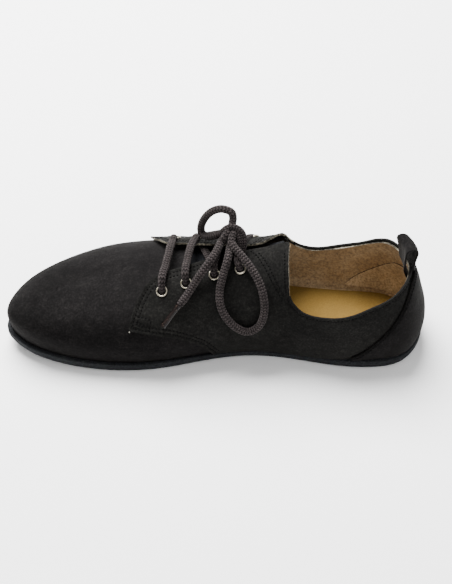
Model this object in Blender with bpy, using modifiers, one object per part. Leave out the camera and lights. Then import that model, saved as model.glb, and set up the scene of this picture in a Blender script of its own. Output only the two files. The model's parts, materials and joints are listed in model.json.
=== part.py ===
"""Barefoot derby shoe, right foot: a thin cupped outsole, a hollow suede upper on a foot-shaped last,
two quarters that carry the eyelets, a heel counter, tongue, insole, pull loop and a tied round lace.

Metres, +X to the toe, +Y to the medial side, +Z up. The origin is the middle of the heel's flat spot,
on the floor.
"""

import functools
import math

import bmesh
import bpy
import numpy as np
from mathutils import Vector

# Driving sizes of the shoe
SOLE_LENGTH = 0.282
BALL_WIDTH = 0.100
INSTEP_HEIGHT = 0.085
HEEL_REST_X = 0.040

# The outsole: its plate, its raised side and the lift of its ends
PLATE_THICKNESS = 0.0042
RIM_HEIGHT = 0.0028
RIM_WIDTH = 0.0040
TOE_SPRING = 0.0075
HEEL_LIFT = 0.0015
ARCH_LIFT = 0.0010

# Leather and fit
UPPER_WALL = 0.0014
OVERLAY_WALL = 0.0014
SEAM_GAP = 0.0005
OVERLAY_GAP = 0.0006
QUARTER_OUT = OVERLAY_GAP + OVERLAY_WALL
COUNTER_OUT = QUARTER_OUT + SEAM_GAP + OVERLAY_WALL
TUCK = 0.0020
WIDEST_HEIGHT = 0.0120

# Sections from the heel's back to the toe's tip. The edges are the sole's, x as a share of SOLE_LENGTH
# and y of BALL_WIDTH. The rims are the shares of RIM_WIDTH from that edge in to the upper's foot, and
# lip is the share of RIM_HEIGHT there. The crest is the top of the last, in shares of SOLE_LENGTH,
# BALL_WIDTH and INSTEP_HEIGHT. The rounds are the exponents of the section: 2 is an ellipse, more is boxier.
COLUMNS = ("medial_x", "medial_y", "medial_rim", "lateral_x", "lateral_y", "lateral_rim", "lip",
           "crest_x", "crest_y", "crest_z", "medial_round", "lateral_round")
SECTIONS = (
    (0.000, 0.000, 1.30, 0.000, 0.000, 1.30, 1.00, 0.172, -0.020, 1.240, 1.50, 1.50),
    (0.044, 0.280, 1.25, 0.044, -0.272, 1.25, 1.00, 0.176, -0.020, 1.230, 1.60, 1.60),
    (0.130, 0.361, 1.45, 0.127, -0.367, 1.30, 1.00, 0.195, -0.035, 1.190, 1.90, 1.90),
    (0.230, 0.340, 0.60, 0.225, -0.390, 1.00, 0.85, 0.241, -0.065, 1.080, 2.25, 2.05),
    (0.335, 0.282, 0.58, 0.328, -0.420, 0.75, 0.45, 0.333, -0.100, 0.864, 2.30, 1.82),
    (0.440, 0.272, 0.62, 0.433, -0.480, 0.70, 0.40, 0.433, -0.105, 0.776, 2.15, 1.80),
    (0.546, 0.320, 0.62, 0.539, -0.550, 0.75, 0.75, 0.539, -0.105, 0.692, 2.15, 1.86),
    (0.652, 0.380, 0.75, 0.645, -0.580, 0.80, 0.95, 0.638, -0.105, 0.610, 2.25, 1.95),
    (0.755, 0.386, 0.80, 0.745, -0.560, 0.82, 1.00, 0.727, -0.095, 0.542, 2.35, 2.10),
    (0.848, 0.352, 0.82, 0.833, -0.465, 0.82, 1.00, 0.794, -0.075, 0.500, 2.40, 2.30),
    (0.929, 0.284, 0.80, 0.908, -0.330, 0.80, 1.00, 0.833, -0.050, 0.478, 2.40, 2.40),
    (0.979, 0.190, 0.78, 0.968, -0.155, 0.78, 1.00, 0.858, -0.030, 0.468, 2.35, 2.40),
    (1.000, 0.060, 0.75, 1.000, 0.060, 0.75, 1.00, 0.870, -0.020, 0.464, 2.30, 2.30),
)
TIP = len(SECTIONS) - 1


def closed_spline(values):
    """Gives the smooth closed curve through evenly numbered values, as a function of the number."""
    values = np.asarray(values, dtype=float)
    count = len(values)
    ring = np.eye(count)
    system = 4.0 * ring + np.roll(ring, 1, axis=1) + np.roll(ring, -1, axis=1)
    bends = np.linalg.solve(system, 6.0 * (np.roll(values, -1) - 2.0 * values + np.roll(values, 1)))

    def at(number):
        start = math.floor(number)
        after = number - start
        before = 1.0 - after
        here, there = start % count, (start + 1) % count
        curve = (bends[here] * (before ** 3 - before) + bends[there] * (after ** 3 - after)) / 6.0
        return values[here] * before + values[there] * after + curve

    return at


def around(medial, lateral, size):
    """A pair of the table's columns round the shoe, as a length: heel, medial side, toe, lateral side."""
    there = [row[COLUMNS.index(medial)] * size for row in SECTIONS]
    back = [row[COLUMNS.index(lateral)] * size for row in SECTIONS]
    return closed_spline(there + back[-2:0:-1])


# A place round the shoe is a section's number, positive on the medial side and negative on the lateral one
EDGE_X = around("medial_x", "lateral_x", SOLE_LENGTH)
EDGE_Y = around("medial_y", "lateral_y", BALL_WIDTH)
RIM = around("medial_rim", "lateral_rim", RIM_WIDTH)
CREST_X = around("crest_x", "crest_x", SOLE_LENGTH)
CREST_Y = around("crest_y", "crest_y", BALL_WIDTH)
CREST_Z = around("crest_z", "crest_z", INSTEP_HEIGHT)
ROUND = around("medial_round", "lateral_round", 1.0)
LIP = around("lip", "lip", RIM_HEIGHT)

# The lift of the sole's underside, over shares of SOLE_LENGTH
SPRING_START = 0.74
HEEL_LIFT_END = 0.06
ARCH_START = 0.30
ARCH_END = 0.60


def lift(x):
    """How far the sole's underside is off the floor, x metres ahead of the heel's back."""
    share = x / SOLE_LENGTH
    toe = max(0.0, (share - SPRING_START) / (1.0 - SPRING_START))
    heel = max(0.0, (HEEL_LIFT_END - share) / HEEL_LIFT_END)
    arch = min(1.0, max(0.0, (share - ARCH_START) / (ARCH_END - ARCH_START)))
    return TOE_SPRING * toe ** 2 + HEEL_LIFT * heel ** 2 + ARCH_LIFT * math.sin(math.pi * arch) ** 2


@functools.lru_cache(maxsize=None)
def edge(place, inset):
    """The sole's edge in plan, moved in by a length."""
    step = 0.01
    along_x = EDGE_X(place + step) - EDGE_X(place - step)
    along_y = EDGE_Y(place + step) - EDGE_Y(place - step)
    length = math.hypot(along_x, along_y)
    out_x, out_y = -along_y / length, along_x / length
    return EDGE_X(place) - inset * out_x, EDGE_Y(place) - inset * out_y


@functools.lru_cache(maxsize=None)
def rib(place):
    """The last's section at a place: its points from foot to crest, and each one's share of the way."""
    foot_x, foot_y = edge(place, RIM(place))
    crest = Vector((CREST_X(place), CREST_Y(place), CREST_Z(place)))
    reach = math.hypot(foot_x - crest.x, foot_y - crest.y)
    out_x, out_y = (foot_x - crest.x) / reach, (foot_y - crest.y) / reach
    foot_z = lift(foot_x) + PLATE_THICKNESS + SEAM_GAP
    bend_z = foot_z + LIP(place)
    widest_z = bend_z + WIDEST_HEIGHT
    widest = reach + TUCK
    profile = [(reach, foot_z)]
    for step in range(9):
        angle = math.radians(90.0) * step / 8.0
        profile.append((reach + TUCK * math.sin(angle), bend_z + WIDEST_HEIGHT * step / 8.0))
    for step in range(1, 49):
        angle = math.radians(90.0) * step / 48.0
        across = max(0.0, math.cos(angle)) ** (2.0 / ROUND(place))
        upwards = math.sin(angle) ** (2.0 / ROUND(place))
        profile.append((widest * across, widest_z + (crest.z - widest_z) * upwards))
    points = np.array([(crest.x + out_x * far, crest.y + out_y * far, z) for far, z in profile])
    runs = np.linalg.norm(np.diff(points, axis=0), axis=1)
    shares = np.concatenate(([0.0], np.cumsum(runs))) / runs.sum()
    return points, shares


def on_rib(place, share):
    points, shares = rib(round(place, 5))
    return Vector([float(np.interp(share, shares, points[:, axis])) for axis in range(3)])


def last(place, share, out=0.0):
    """A point of the last's surface, or of the surface that lies out metres outside it."""
    point = on_rib(place, share)
    if out == 0.0:
        return point
    step = 0.02
    high, low = min(1.0, share + step), max(0.0, share - step)
    up = on_rib(place, high) - on_rib(place, low)
    along = on_rib(place + step, share) - on_rib(place - step, share)
    return point + up.cross(along).normalized() * out


def share_at(place, height):
    """The share of the way up the section where the last is that far off the floor."""
    points, shares = rib(round(place, 5))
    return float(np.interp(height, points[:, 2], shares))


def smooth(value):
    value = min(1.0, max(0.0, value))
    return value * value * (3.0 - 2.0 * value)


def table_curve(rows, numbers):
    """The rows at some numbers, read from the smooth curve through a table's rows. A whole number gives an
    even spread of so many rows."""
    if isinstance(numbers, int):
        numbers = np.linspace(0.0, len(rows) - 1.0, numbers)
    columns = np.array(rows, dtype=float)
    slopes = np.gradient(columns, axis=0)
    out = []
    for number in numbers:
        start = min(int(number), len(rows) - 2)
        t = number - start
        a, b = columns[start], columns[start + 1]
        da, db = slopes[start], slopes[start + 1]
        out.append(a * (2 * t ** 3 - 3 * t ** 2 + 1) + da * (t ** 3 - 2 * t ** 2 + t)
                   + b * (3 * t ** 2 - 2 * t ** 3) + db * (t ** 3 - t ** 2))
    return out


for old in list(bpy.data.objects):
    bpy.data.objects.remove(old, do_unlink=True)
SHOE = bpy.data.collections.new("barefoot_shoe")
CUTTERS = bpy.data.collections.new("cutters")
bpy.context.scene.collection.children.link(SHOE)
bpy.context.scene.collection.children.link(CUTTERS)


def finish_of(name, colour, roughness, metallic=0.0):
    material = bpy.data.materials.new(name)
    material.use_nodes = True
    shader = material.node_tree.nodes["Principled BSDF"]
    shader.inputs["Base Color"].default_value = (*colour, 1.0)
    shader.inputs["Roughness"].default_value = roughness
    shader.inputs["Metallic"].default_value = metallic
    return material


VAMP_SUEDE = finish_of("vamp_suede", (0.026, 0.020, 0.019), 0.95)
QUARTER_SUEDE = finish_of("quarter_suede", (0.018, 0.018, 0.016), 0.95)
TONGUE_LEATHER = finish_of("tongue_leather", (0.010, 0.010, 0.013), 0.85)
INSOLE_LEATHER = finish_of("insole_leather", (0.340, 0.225, 0.060), 0.80)
SOLE_RUBBER = finish_of("sole_rubber", (0.014, 0.016, 0.019), 0.75)
EYELET_METAL = finish_of("eyelet_metal", (0.480, 0.440, 0.370), 0.35, 1.0)
LACE_YARN = finish_of("lace_yarn", (0.075, 0.062, 0.058), 0.90)
TIP_PLASTIC = finish_of("tip_plastic", (0.020, 0.011, 0.010), 0.25)


def add_mesh(name, points, faces, material):
    """One object from points that are measured from the heel's back, set round the origin."""
    mesh = bpy.data.meshes.new(name)
    mesh.from_pydata([(point[0] - HEEL_REST_X, point[1], point[2]) for point in points], [], faces)
    mesh.materials.append(material)
    mesh.shade_smooth()
    mesh.set_sharp_from_angle(angle=math.radians(40.0))
    thing = bpy.data.objects.new(name, mesh)
    SHOE.objects.link(thing)
    return thing


def add_wall(thing, thickness):
    """Thickens an open surface inwards, away from the side that its faces show."""
    wall = thing.modifiers.new("wall", "SOLIDIFY")
    wall.thickness = thickness
    wall.offset = -1.0
    wall.use_rim = True


def grid_faces(columns, rows):
    """Faces of a grid whose points run up each column, and then on to the next column."""
    faces = []
    for column in range(columns - 1):
        for row in range(rows - 1):
            here = column * rows + row
            faces.append((here, here + 1, here + rows + 1, here + rows))
    return faces


def ring_faces(count, rows):
    """Faces round a ring of columns that starts at the heel, with a floor and a top from side to side."""
    faces = []
    for number in range(count):
        after = (number + 1) % count
        for row in range(rows - 1):
            faces.append((number * rows + row, number * rows + row + 1, after * rows + row + 1, after * rows + row))
    half = count // 2
    for number in range(half):
        ahead = number + 1
        across, across_ahead = -number % count, -ahead % count
        for row, turned in ((0, True), (rows - 1, False)):
            corners = [place * rows + row for place in (number, ahead, across_ahead, across)]
            corners = list(dict.fromkeys(corners))
            faces.append(tuple(corners if turned else reversed(corners)))
    return faces


# The upper's top edge. Foot is the place where a column of the wall starts at the sole, top the place
# where it ends, and share how far up the section that is. The collar's rows come first, then the front of
# the collar, the throat's side, and the vamp's back edge, which meets the crest.
COLLAR = (
    # foot, top, height as a share of INSTEP_HEIGHT
    (0.00, 0.00, 0.745),
    (0.50, 0.50, 0.742),
    (1.00, 1.00, 0.728),
    (1.50, 1.52, 0.688),
    (2.00, 2.03, 0.640),
    (2.45, 2.50, 0.592),
    (2.85, 2.95, 0.558),
    (3.20, 3.35, 0.545),
    (3.50, 3.65, 0.560),
    (3.75, 3.86, 0.615),
    (3.95, 3.95, 0.665),
)
THROAT = (
    # foot, top, share of the section
    (3.95, 3.95, 0.620),
    (4.12, 3.97, 0.665),
    (4.28, 4.02, 0.715),
    (4.60, 4.45, 0.745),
    (5.10, 5.05, 0.755),
    (5.60, 5.60, 0.760),
    (5.95, 5.93, 0.790),
    (6.10, 6.10, 0.860),
    (6.20, 6.18, 0.930),
    (6.30, 6.24, 1.000),
)
COLLAR_DROP = 0.030
COLLAR_COLUMNS = (0.0, 0.4, 0.8, 1.2, 1.6, 2.0, 2.4, 2.8, 3.3, 4.0, 5.0, 6.0, 7.0, 8.0, 9.0, 10.0)
THROAT_COLUMNS = 11
VAMP_COLUMNS = 15
UPPER_ROWS = 10


def collar_columns(side):
    """Foot, top and share of the columns that end at the collar, heel first, and a little lower outside."""
    columns = []
    for foot, top, height in table_curve(COLLAR, COLLAR_COLUMNS):
        drop = COLLAR_DROP * smooth(top / 2.0) * (1.0 if side < 0 else 0.0)
        top_height = (height - drop) * INSTEP_HEIGHT
        columns.append((side * foot, side * top, share_at(side * top, top_height)))
    return columns


def upper_columns(side):
    """Foot, top and share of all the upper's columns on one side, from the heel to the toe's tip."""
    collar = collar_columns(side)
    start = collar[-1][2]
    throat = [(side * foot, side * top, share) for foot, top, share in table_curve(THROAT, THROAT_COLUMNS)
              if share > start + 0.02 or foot > THROAT[1][0]]
    back_foot, back_top, _ = THROAT[-1]
    vamp = []
    for number in range(1, VAMP_COLUMNS + 1):
        way = number / VAMP_COLUMNS
        place = back_foot + (TIP - back_foot) * way
        vamp.append((side * place, side * (place - (back_foot - back_top) * (1.0 - way)), 1.0))
    return collar + throat + vamp


# The places of the upper's foot round the shoe, which the sole and the insole share
FOOT_PLACES = [foot for foot, _, _ in upper_columns(1.0) + upper_columns(-1.0)[-2:0:-1]]


# The outsole: from the bottom's rim up its side, over the lip and down to the plate's top. Each row gives
# how far in from the edge the point is, and where its height starts and what it adds.
SIDE_DRAFT = 0.0024
SIDE_STEP = 0.0005
EDGE_ROUND = 0.0008


def sole_profile(place):
    edge_x, _ = edge(place, 0.0)
    base = lift(edge_x)
    inner = RIM(place) - SEAM_GAP
    inner_x, _ = edge(place, inner)
    lip = lift(inner_x) + PLATE_THICKNESS + LIP(place)
    side_top = min(EDGE_ROUND, inner * 0.4)
    return (
        (SIDE_DRAFT, base),
        (SIDE_STEP, base + SIDE_DRAFT * 0.5),
        (0.0, base + PLATE_THICKNESS * 0.6),
        (0.0, lip - EDGE_ROUND),
        (side_top, lip),
        (inner, lip),
        (inner, lift(inner_x) + PLATE_THICKNESS),
    )


def make_outsole():
    points = []
    for place in FOOT_PLACES:
        for inset, height in sole_profile(place):
            x, y = edge(place, inset)
            points.append((x, y, height))
    return add_mesh("outsole", points, ring_faces(len(FOOT_PLACES), len(sole_profile(0.0))), SOLE_RUBBER)


# The insole lies on the plate inside the upper's wall
INSOLE_THICKNESS = 0.0030
INSOLE_FIT = 0.0006


def make_insole():
    points = []
    for place in FOOT_PLACES:
        inset = RIM(place) + UPPER_WALL + INSOLE_FIT
        for extra, share in ((0.0, 0.0), (0.0, 0.6), (0.0008, 1.0)):
            x, y = edge(place, inset + extra)
            points.append((x, y, lift(x) + PLATE_THICKNESS + SEAM_GAP + INSOLE_THICKNESS * share))
    return add_mesh("insole", points, ring_faces(len(FOOT_PLACES), 3), INSOLE_LEATHER)


def make_upper():
    columns = upper_columns(1.0) + upper_columns(-1.0)[-2:0:-1]
    points, index = [], {}
    table = []
    for foot, top, share in columns:
        column = []
        for row in range(UPPER_ROWS):
            way = row / (UPPER_ROWS - 1.0)
            place = foot + (top - foot) * way
            if row == UPPER_ROWS - 1 and share >= 1.0:
                key = ("crest", round(abs(top), 4))
            else:
                key = (round(foot, 4), round(top, 4), row)
            if key not in index:
                index[key] = len(points)
                points.append(last(place, share * way))
            column.append(index[key])
        table.append(column)
    faces = []
    for number, column in enumerate(table):
        after = table[(number + 1) % len(table)]
        for row in range(UPPER_ROWS - 1):
            corners = [column[row], column[row + 1], after[row + 1], after[row]]
            faces.append(tuple(dict.fromkeys(corners)))
    upper = add_mesh("upper", points, faces, VAMP_SUEDE)
    add_wall(upper, UPPER_WALL)
    return upper


# The quarters: overlays on the last from the heel to the front of the lacing. Each row is a column of the
# overlay, from its lower edge to its top edge, as places and shares of the section. A share of zero at
# the foot stands for the sole's lip. The collar's own rows come before these.
QUARTER_FRONT = (
    # foot, foot share, top, top share
    (3.95, 0.000, 3.95, 0.620),
    (4.12, 0.000, 3.96, 0.730),
    (4.25, 0.000, 3.97, 0.850),
    (4.36, 0.000, 4.00, 0.940),
    (4.46, 0.000, 4.06, 0.985),
    (4.75, 0.000, 4.45, 0.988),
    (5.05, 0.000, 4.95, 0.978),
    (5.36, 0.000, 5.50, 0.945),
    (5.58, 0.020, 5.90, 0.915),
    (5.70, 0.095, 6.27, 0.885),
    (5.88, 0.190, 6.64, 0.855),
    (6.15, 0.265, 6.90, 0.825),
    (6.50, 0.325, 7.09, 0.775),
    (6.85, 0.355, 7.24, 0.705),
    (7.12, 0.378, 7.36, 0.615),
    (7.33, 0.395, 7.44, 0.515),
    (7.45, 0.402, 7.48, 0.430),
)
QUARTER_ROWS = 9
QUARTER_FRONT_COLUMNS = 24
QUARTER_START = 0.02
LATERAL_OPENING = 0.018
LATERAL_SETBACK = 0.045
OVERLAY_FOOT = 0.0012
COUNTER_FOOT = 0.0018

# The front flaps of the quarters stand off the vamp, most at their front corner, and the collar's front
# corner stands off a little
FLAP_LIFT = 0.0034
FLAP_START = 0.56
FLAP_WIDTH = 0.26
CORNER_LIFT = 0.0008
CORNER_PLACE = 4.10
CORNER_REACH = 0.50


def flap_lift(place, share):
    along = smooth((abs(place) - 4.7) / 2.0)
    corner = smooth(1.0 - abs(abs(place) - CORNER_PLACE) / CORNER_REACH)
    return (FLAP_LIFT * along + CORNER_LIFT * corner) * smooth((share - FLAP_START) / FLAP_WIDTH)


def lip_share(place, clearance):
    """The share of the section just over the sole's lip."""
    foot_x, _ = edge(place, RIM(place))
    return share_at(place, lift(foot_x) + PLATE_THICKNESS + LIP(place) + clearance)


def quarter_columns(side):
    """Foot place and share, top place and share of each column of a quarter, heel first."""
    columns = []
    for foot, top, share in collar_columns(side):
        start = side * max(abs(foot), QUARTER_START)
        columns.append((start, lip_share(start, OVERLAY_FOOT), side * max(abs(top), QUARTER_START), share))
    for foot, low, top, high in table_curve(QUARTER_FRONT, QUARTER_FRONT_COLUMNS)[1:]:
        opening = LATERAL_OPENING * smooth((high - 0.6) / 0.3) if side < 0 else 0.0
        shift = 1.0
        if side < 0:
            shift = 1.0 - LATERAL_SETBACK * smooth((foot - 5.0) / 2.0)
        foot, top = side * foot * shift, side * top * shift
        columns.append((foot, max(low, lip_share(foot, OVERLAY_FOOT)), top, high - opening))
    return columns


def make_quarter(name, side):
    points = []
    columns = quarter_columns(side)
    for foot, low, top, high in columns:
        for row in range(QUARTER_ROWS):
            way = row / (QUARTER_ROWS - 1.0)
            place = foot + (top - foot) * way
            share = low + (high - low) * way
            out = QUARTER_OUT + flap_lift(place, share)
            points.append(last(place, share, out))
    faces = grid_faces(len(columns), QUARTER_ROWS)
    if side < 0:
        faces = [tuple(reversed(face)) for face in faces]
    quarter = add_mesh(name, points, faces, QUARTER_SUEDE)
    add_wall(quarter, OVERLAY_WALL)
    return quarter


# The heel counter lies over both quarters. Its front edge runs from the top of the heel down to the sole.
COUNTER_SEAM = (
    # place, share of the section
    (0.00, 0.490),
    (0.48, 0.486),
    (0.72, 0.465),
    (1.00, 0.415),
    (1.30, 0.350),
    (1.58, 0.280),
    (1.86, 0.210),
    (2.12, 0.145),
    (2.36, 0.085),
    (2.52, 0.050),
)
COUNTER_ROWS = 8


def counter_top(place):
    places, shares = zip(*COUNTER_SEAM)
    return float(np.interp(abs(place), places, shares))


def make_counter():
    last_place = COUNTER_SEAM[-1][0]
    places = [foot for foot, _, _ in collar_columns(1.0) if foot < last_place - 0.05] + [last_place]
    places = [-place for place in places[:0:-1]] + places
    points = []
    for place in places:
        low, high = lip_share(place, COUNTER_FOOT), counter_top(place)
        for row in range(COUNTER_ROWS):
            points.append(last(place, low + (high - low) * row / (COUNTER_ROWS - 1.0), COUNTER_OUT))
    counter = add_mesh("heel_counter", points, grid_faces(len(places), COUNTER_ROWS), VAMP_SUEDE)
    add_wall(counter, OVERLAY_WALL)
    return counter


# The tongue lies inside the upper, from under the vamp to the top of the lacing
TONGUE_THICKNESS = 0.0018
TONGUE_GAP = 0.0008
TONGUE_START = 3.98
TONGUE_END = 6.90
TONGUE_SIDE = 0.710
TONGUE_COLUMNS = 11
TONGUE_ROWS = 5


def make_tongue():
    points = []
    out = -(UPPER_WALL + TONGUE_GAP)
    for number in range(TONGUE_COLUMNS):
        place = TONGUE_START + (TONGUE_END - TONGUE_START) * number / (TONGUE_COLUMNS - 1.0)
        side_shares = [TONGUE_SIDE + (1.0 - TONGUE_SIDE) * row / TONGUE_ROWS for row in range(TONGUE_ROWS)]
        for share in side_shares:
            points.append(last(place, share, out))
        points.append(last(place, 1.0) + Vector((0.0, 0.0, out)))
        for share in reversed(side_shares):
            points.append(last(-place, share, out))
    tongue = add_mesh("tongue", points, grid_faces(TONGUE_COLUMNS, 2 * TONGUE_ROWS + 1), TONGUE_LEATHER)
    add_wall(tongue, TONGUE_THICKNESS)
    return tongue


# The pull loop: a strap that straddles the collar at the heel. The path runs from the counter's top up,
# over and down inside the lining, in the heel's middle plane. Its far edge leans towards the toe.
STRAP_WIDTH = 0.016
STRAP_THICKNESS = 0.0014
STRAP_RISE = 0.0175
STRAP_DEPTH = 0.0085
STRAP_LEAN = 0.0035
STRAP_INSIDE = 0.0080
STRAP_SHIFT = -0.0030
STRAP_GAP = 0.010
STRAP_FIT = 0.0006
STRAP_ARC_STEPS = 8


def heel_place(across, share):
    """The place near the heel's middle where the last is so far to the side."""
    low, high = -2.0, 2.0
    for _ in range(20):
        middle = 0.5 * (low + high)
        if last(middle, share).y < across:
            low = middle
        else:
            high = middle
    return middle


def strap_path(across):
    """One line of the strap, from the counter's top over to the lining, at a distance to the side."""
    collar_top = collar_columns(1.0)[0][2]
    low = counter_top(0.0) + STRAP_GAP
    outer, inner = [], []
    for number in range(3):
        share = low + (collar_top - low) * number / 2.0
        outer.append(last(heel_place(across, share), share, QUARTER_OUT + SEAM_GAP + STRAP_THICKNESS))
    for number in range(4):
        share = share_at(0.0, last(0.0, collar_top).z - STRAP_INSIDE * number / 3.0)
        inner.append(last(heel_place(across, share), share, -(UPPER_WALL + STRAP_FIT + STRAP_THICKNESS)))
    start, end = outer[-1], inner[0]
    centre = Vector(((start.x + end.x) * 0.5, across, start.z + STRAP_RISE - STRAP_DEPTH * 0.5))
    arc = []
    for number in range(STRAP_ARC_STEPS + 1):
        angle = math.pi * (1.0 - number / STRAP_ARC_STEPS)
        arc.append(centre + Vector((math.cos(angle), 0.0, math.sin(angle))) * (STRAP_DEPTH * 0.5))
    path = outer + [start.lerp(arc[0], 0.45)] + arc + [arc[-1].lerp(end, 0.5)] + inner
    top = max(point.z for point in path)
    for point in path:
        point.y = across
        point.x -= STRAP_LEAN * smooth((point.z - start.z) / (top - start.z)) * across / STRAP_WIDTH
    return path


def make_pull_loop():
    paths = [strap_path(STRAP_SHIFT + STRAP_WIDTH * across) for across in (-0.5, -0.167, 0.167, 0.5)]
    points = [path[number] for number in range(len(paths[0])) for path in paths]
    faces = [tuple(reversed(face)) for face in grid_faces(len(paths[0]), len(paths))]
    loop = add_mesh("pull_loop", points, faces, VAMP_SUEDE)
    add_wall(loop, STRAP_THICKNESS)
    return loop


# The eyelets, four a side: a turned flange with a barrel through the quarter
EYELETS = (
    # medial place and share of the section, lateral place and share
    (6.80, 0.713, 6.52, 0.725),
    (6.25, 0.750, 5.97, 0.760),
    (5.60, 0.788, 5.32, 0.795),
    (5.05, 0.815, 4.77, 0.820),
)
EYELET_BORE = 0.0023
EYELET_WALL = 0.00045
EYELET_FLANGE = 0.0042
EYELET_CROWN = 0.0008
EYELET_FIT = 0.0003
EYELET_STAND = 0.0008
EYELET_SIDES = 8


def eyelet_seat(side, number):
    """The middle of an eyelet on the quarter's face, and the way out of the shoe there."""
    medial_place, medial_share, lateral_place, lateral_share = EYELETS[number]
    place, share = (medial_place, medial_share) if side > 0 else (-lateral_place, lateral_share)
    out = QUARTER_OUT + flap_lift(place, share)
    seat = last(place, share, out)
    step = 0.03
    up = last(place, share + step, out) - last(place, share - step, out)
    along = last(place + step, share, out) - last(place - step, share, out)
    return seat, up.cross(along).normalized()


def make_eyelet(name, seat, outwards):
    barrel = EYELET_BORE + EYELET_WALL
    profile = (
        (EYELET_BORE, 0.4 * EYELET_CROWN),
        (EYELET_BORE + 0.4 * (EYELET_FLANGE - EYELET_BORE), EYELET_CROWN),
        (EYELET_FLANGE, 0.0),
        (barrel, 0.0),
        (barrel, -OVERLAY_WALL - EYELET_STAND),
        (EYELET_BORE, -OVERLAY_WALL - EYELET_STAND),
    )
    mesh = bpy.data.meshes.new(name)
    count = len(profile)
    mesh.from_pydata([(radius, 0.0, height) for radius, height in profile],
                     [(number, (number + 1) % count) for number in range(count)], [])
    mesh.materials.append(EYELET_METAL)
    eyelet = bpy.data.objects.new(name, mesh)
    SHOE.objects.link(eyelet)
    turn = eyelet.modifiers.new("turn", "SCREW")
    turn.steps = EYELET_SIDES
    turn.render_steps = EYELET_SIDES
    turn.merge_threshold = 0.00001
    turn.use_merge_vertices = True
    place_on(eyelet, seat + outwards * EYELET_STAND, outwards)
    return eyelet


def place_on(thing, point, outwards):
    thing.location = point - Vector((HEEL_REST_X, 0.0, 0.0))
    thing.rotation_mode = "QUATERNION"
    thing.rotation_quaternion = outwards.to_track_quat("Z", "Y")


def cut_eyelet_hole(quarter, seat, outwards):
    """Opens the quarter for one eyelet's barrel."""
    mesh = bpy.data.meshes.new("hole")
    shape = bmesh.new()
    radius = EYELET_BORE + EYELET_WALL + EYELET_FIT
    bmesh.ops.create_cone(shape, cap_ends=True, segments=EYELET_SIDES, radius1=radius, radius2=radius,
                          depth=4.0 * OVERLAY_WALL)
    shape.to_mesh(mesh)
    shape.free()
    cutter = bpy.data.objects.new("hole", mesh)
    CUTTERS.objects.link(cutter)
    cutter.hide_render = True
    cutter.display_type = "WIRE"
    place_on(cutter, seat - outwards * (0.5 * OVERLAY_WALL), outwards)
    hole = quarter.modifiers.new("hole", "BOOLEAN")
    hole.operation = "DIFFERENCE"
    hole.object = cutter


# The lace. Its crossings arch from eyelet to eyelet over the flaps.
LACE_WIDTH = 0.0044
BAR_POINTS = 9
BAR_BOW = (0.00, 0.12, 0.25, 0.22)


def tube(name, route, width, material):
    """A round cord through its route's points, measured from the origin."""
    curve = bpy.data.curves.new(name, "CURVE")
    curve.dimensions = "3D"
    curve.bevel_depth = width * 0.5
    curve.bevel_resolution = 2
    curve.use_fill_caps = True
    line = curve.splines.new("POLY")
    line.points.add(len(route) - 1)
    for spot, point in zip(line.points, route):
        spot.co = (*point, 1.0)
    curve.materials.append(material)
    cord = bpy.data.objects.new(name, curve)
    SHOE.objects.link(cord)
    return cord


def make_bar(number):
    """One crossing, from over the medial eyelet to over the lateral one."""
    route = []
    for step in range(BAR_POINTS):
        way = 2.0 * step / (BAR_POINTS - 1.0) - 1.0
        side = 1.0 if way < 0.0 else -1.0
        medial_place, medial_share, lateral_place, lateral_share = EYELETS[number]
        place = 0.5 * (medial_place + lateral_place) - 0.5 * way * (medial_place - lateral_place)
        place += BAR_BOW[number] * (1.0 - way ** 2)
        share = 1.0 - abs(way) * (1.0 - (medial_share if side > 0 else lateral_share))
        out = QUARTER_OUT + flap_lift(place, share) + SEAM_GAP + LACE_WIDTH * 0.5
        out += (EYELET_CROWN + EYELET_STAND) * smooth((abs(way) - 0.4) / 0.3)
        route.append(last(side * place, share, out) - Vector((HEEL_REST_X, 0.0, 0.0)))
    return tube("lace_bar_%d" % (number + 1), route, LACE_WIDTH, LACE_YARN)


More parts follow.
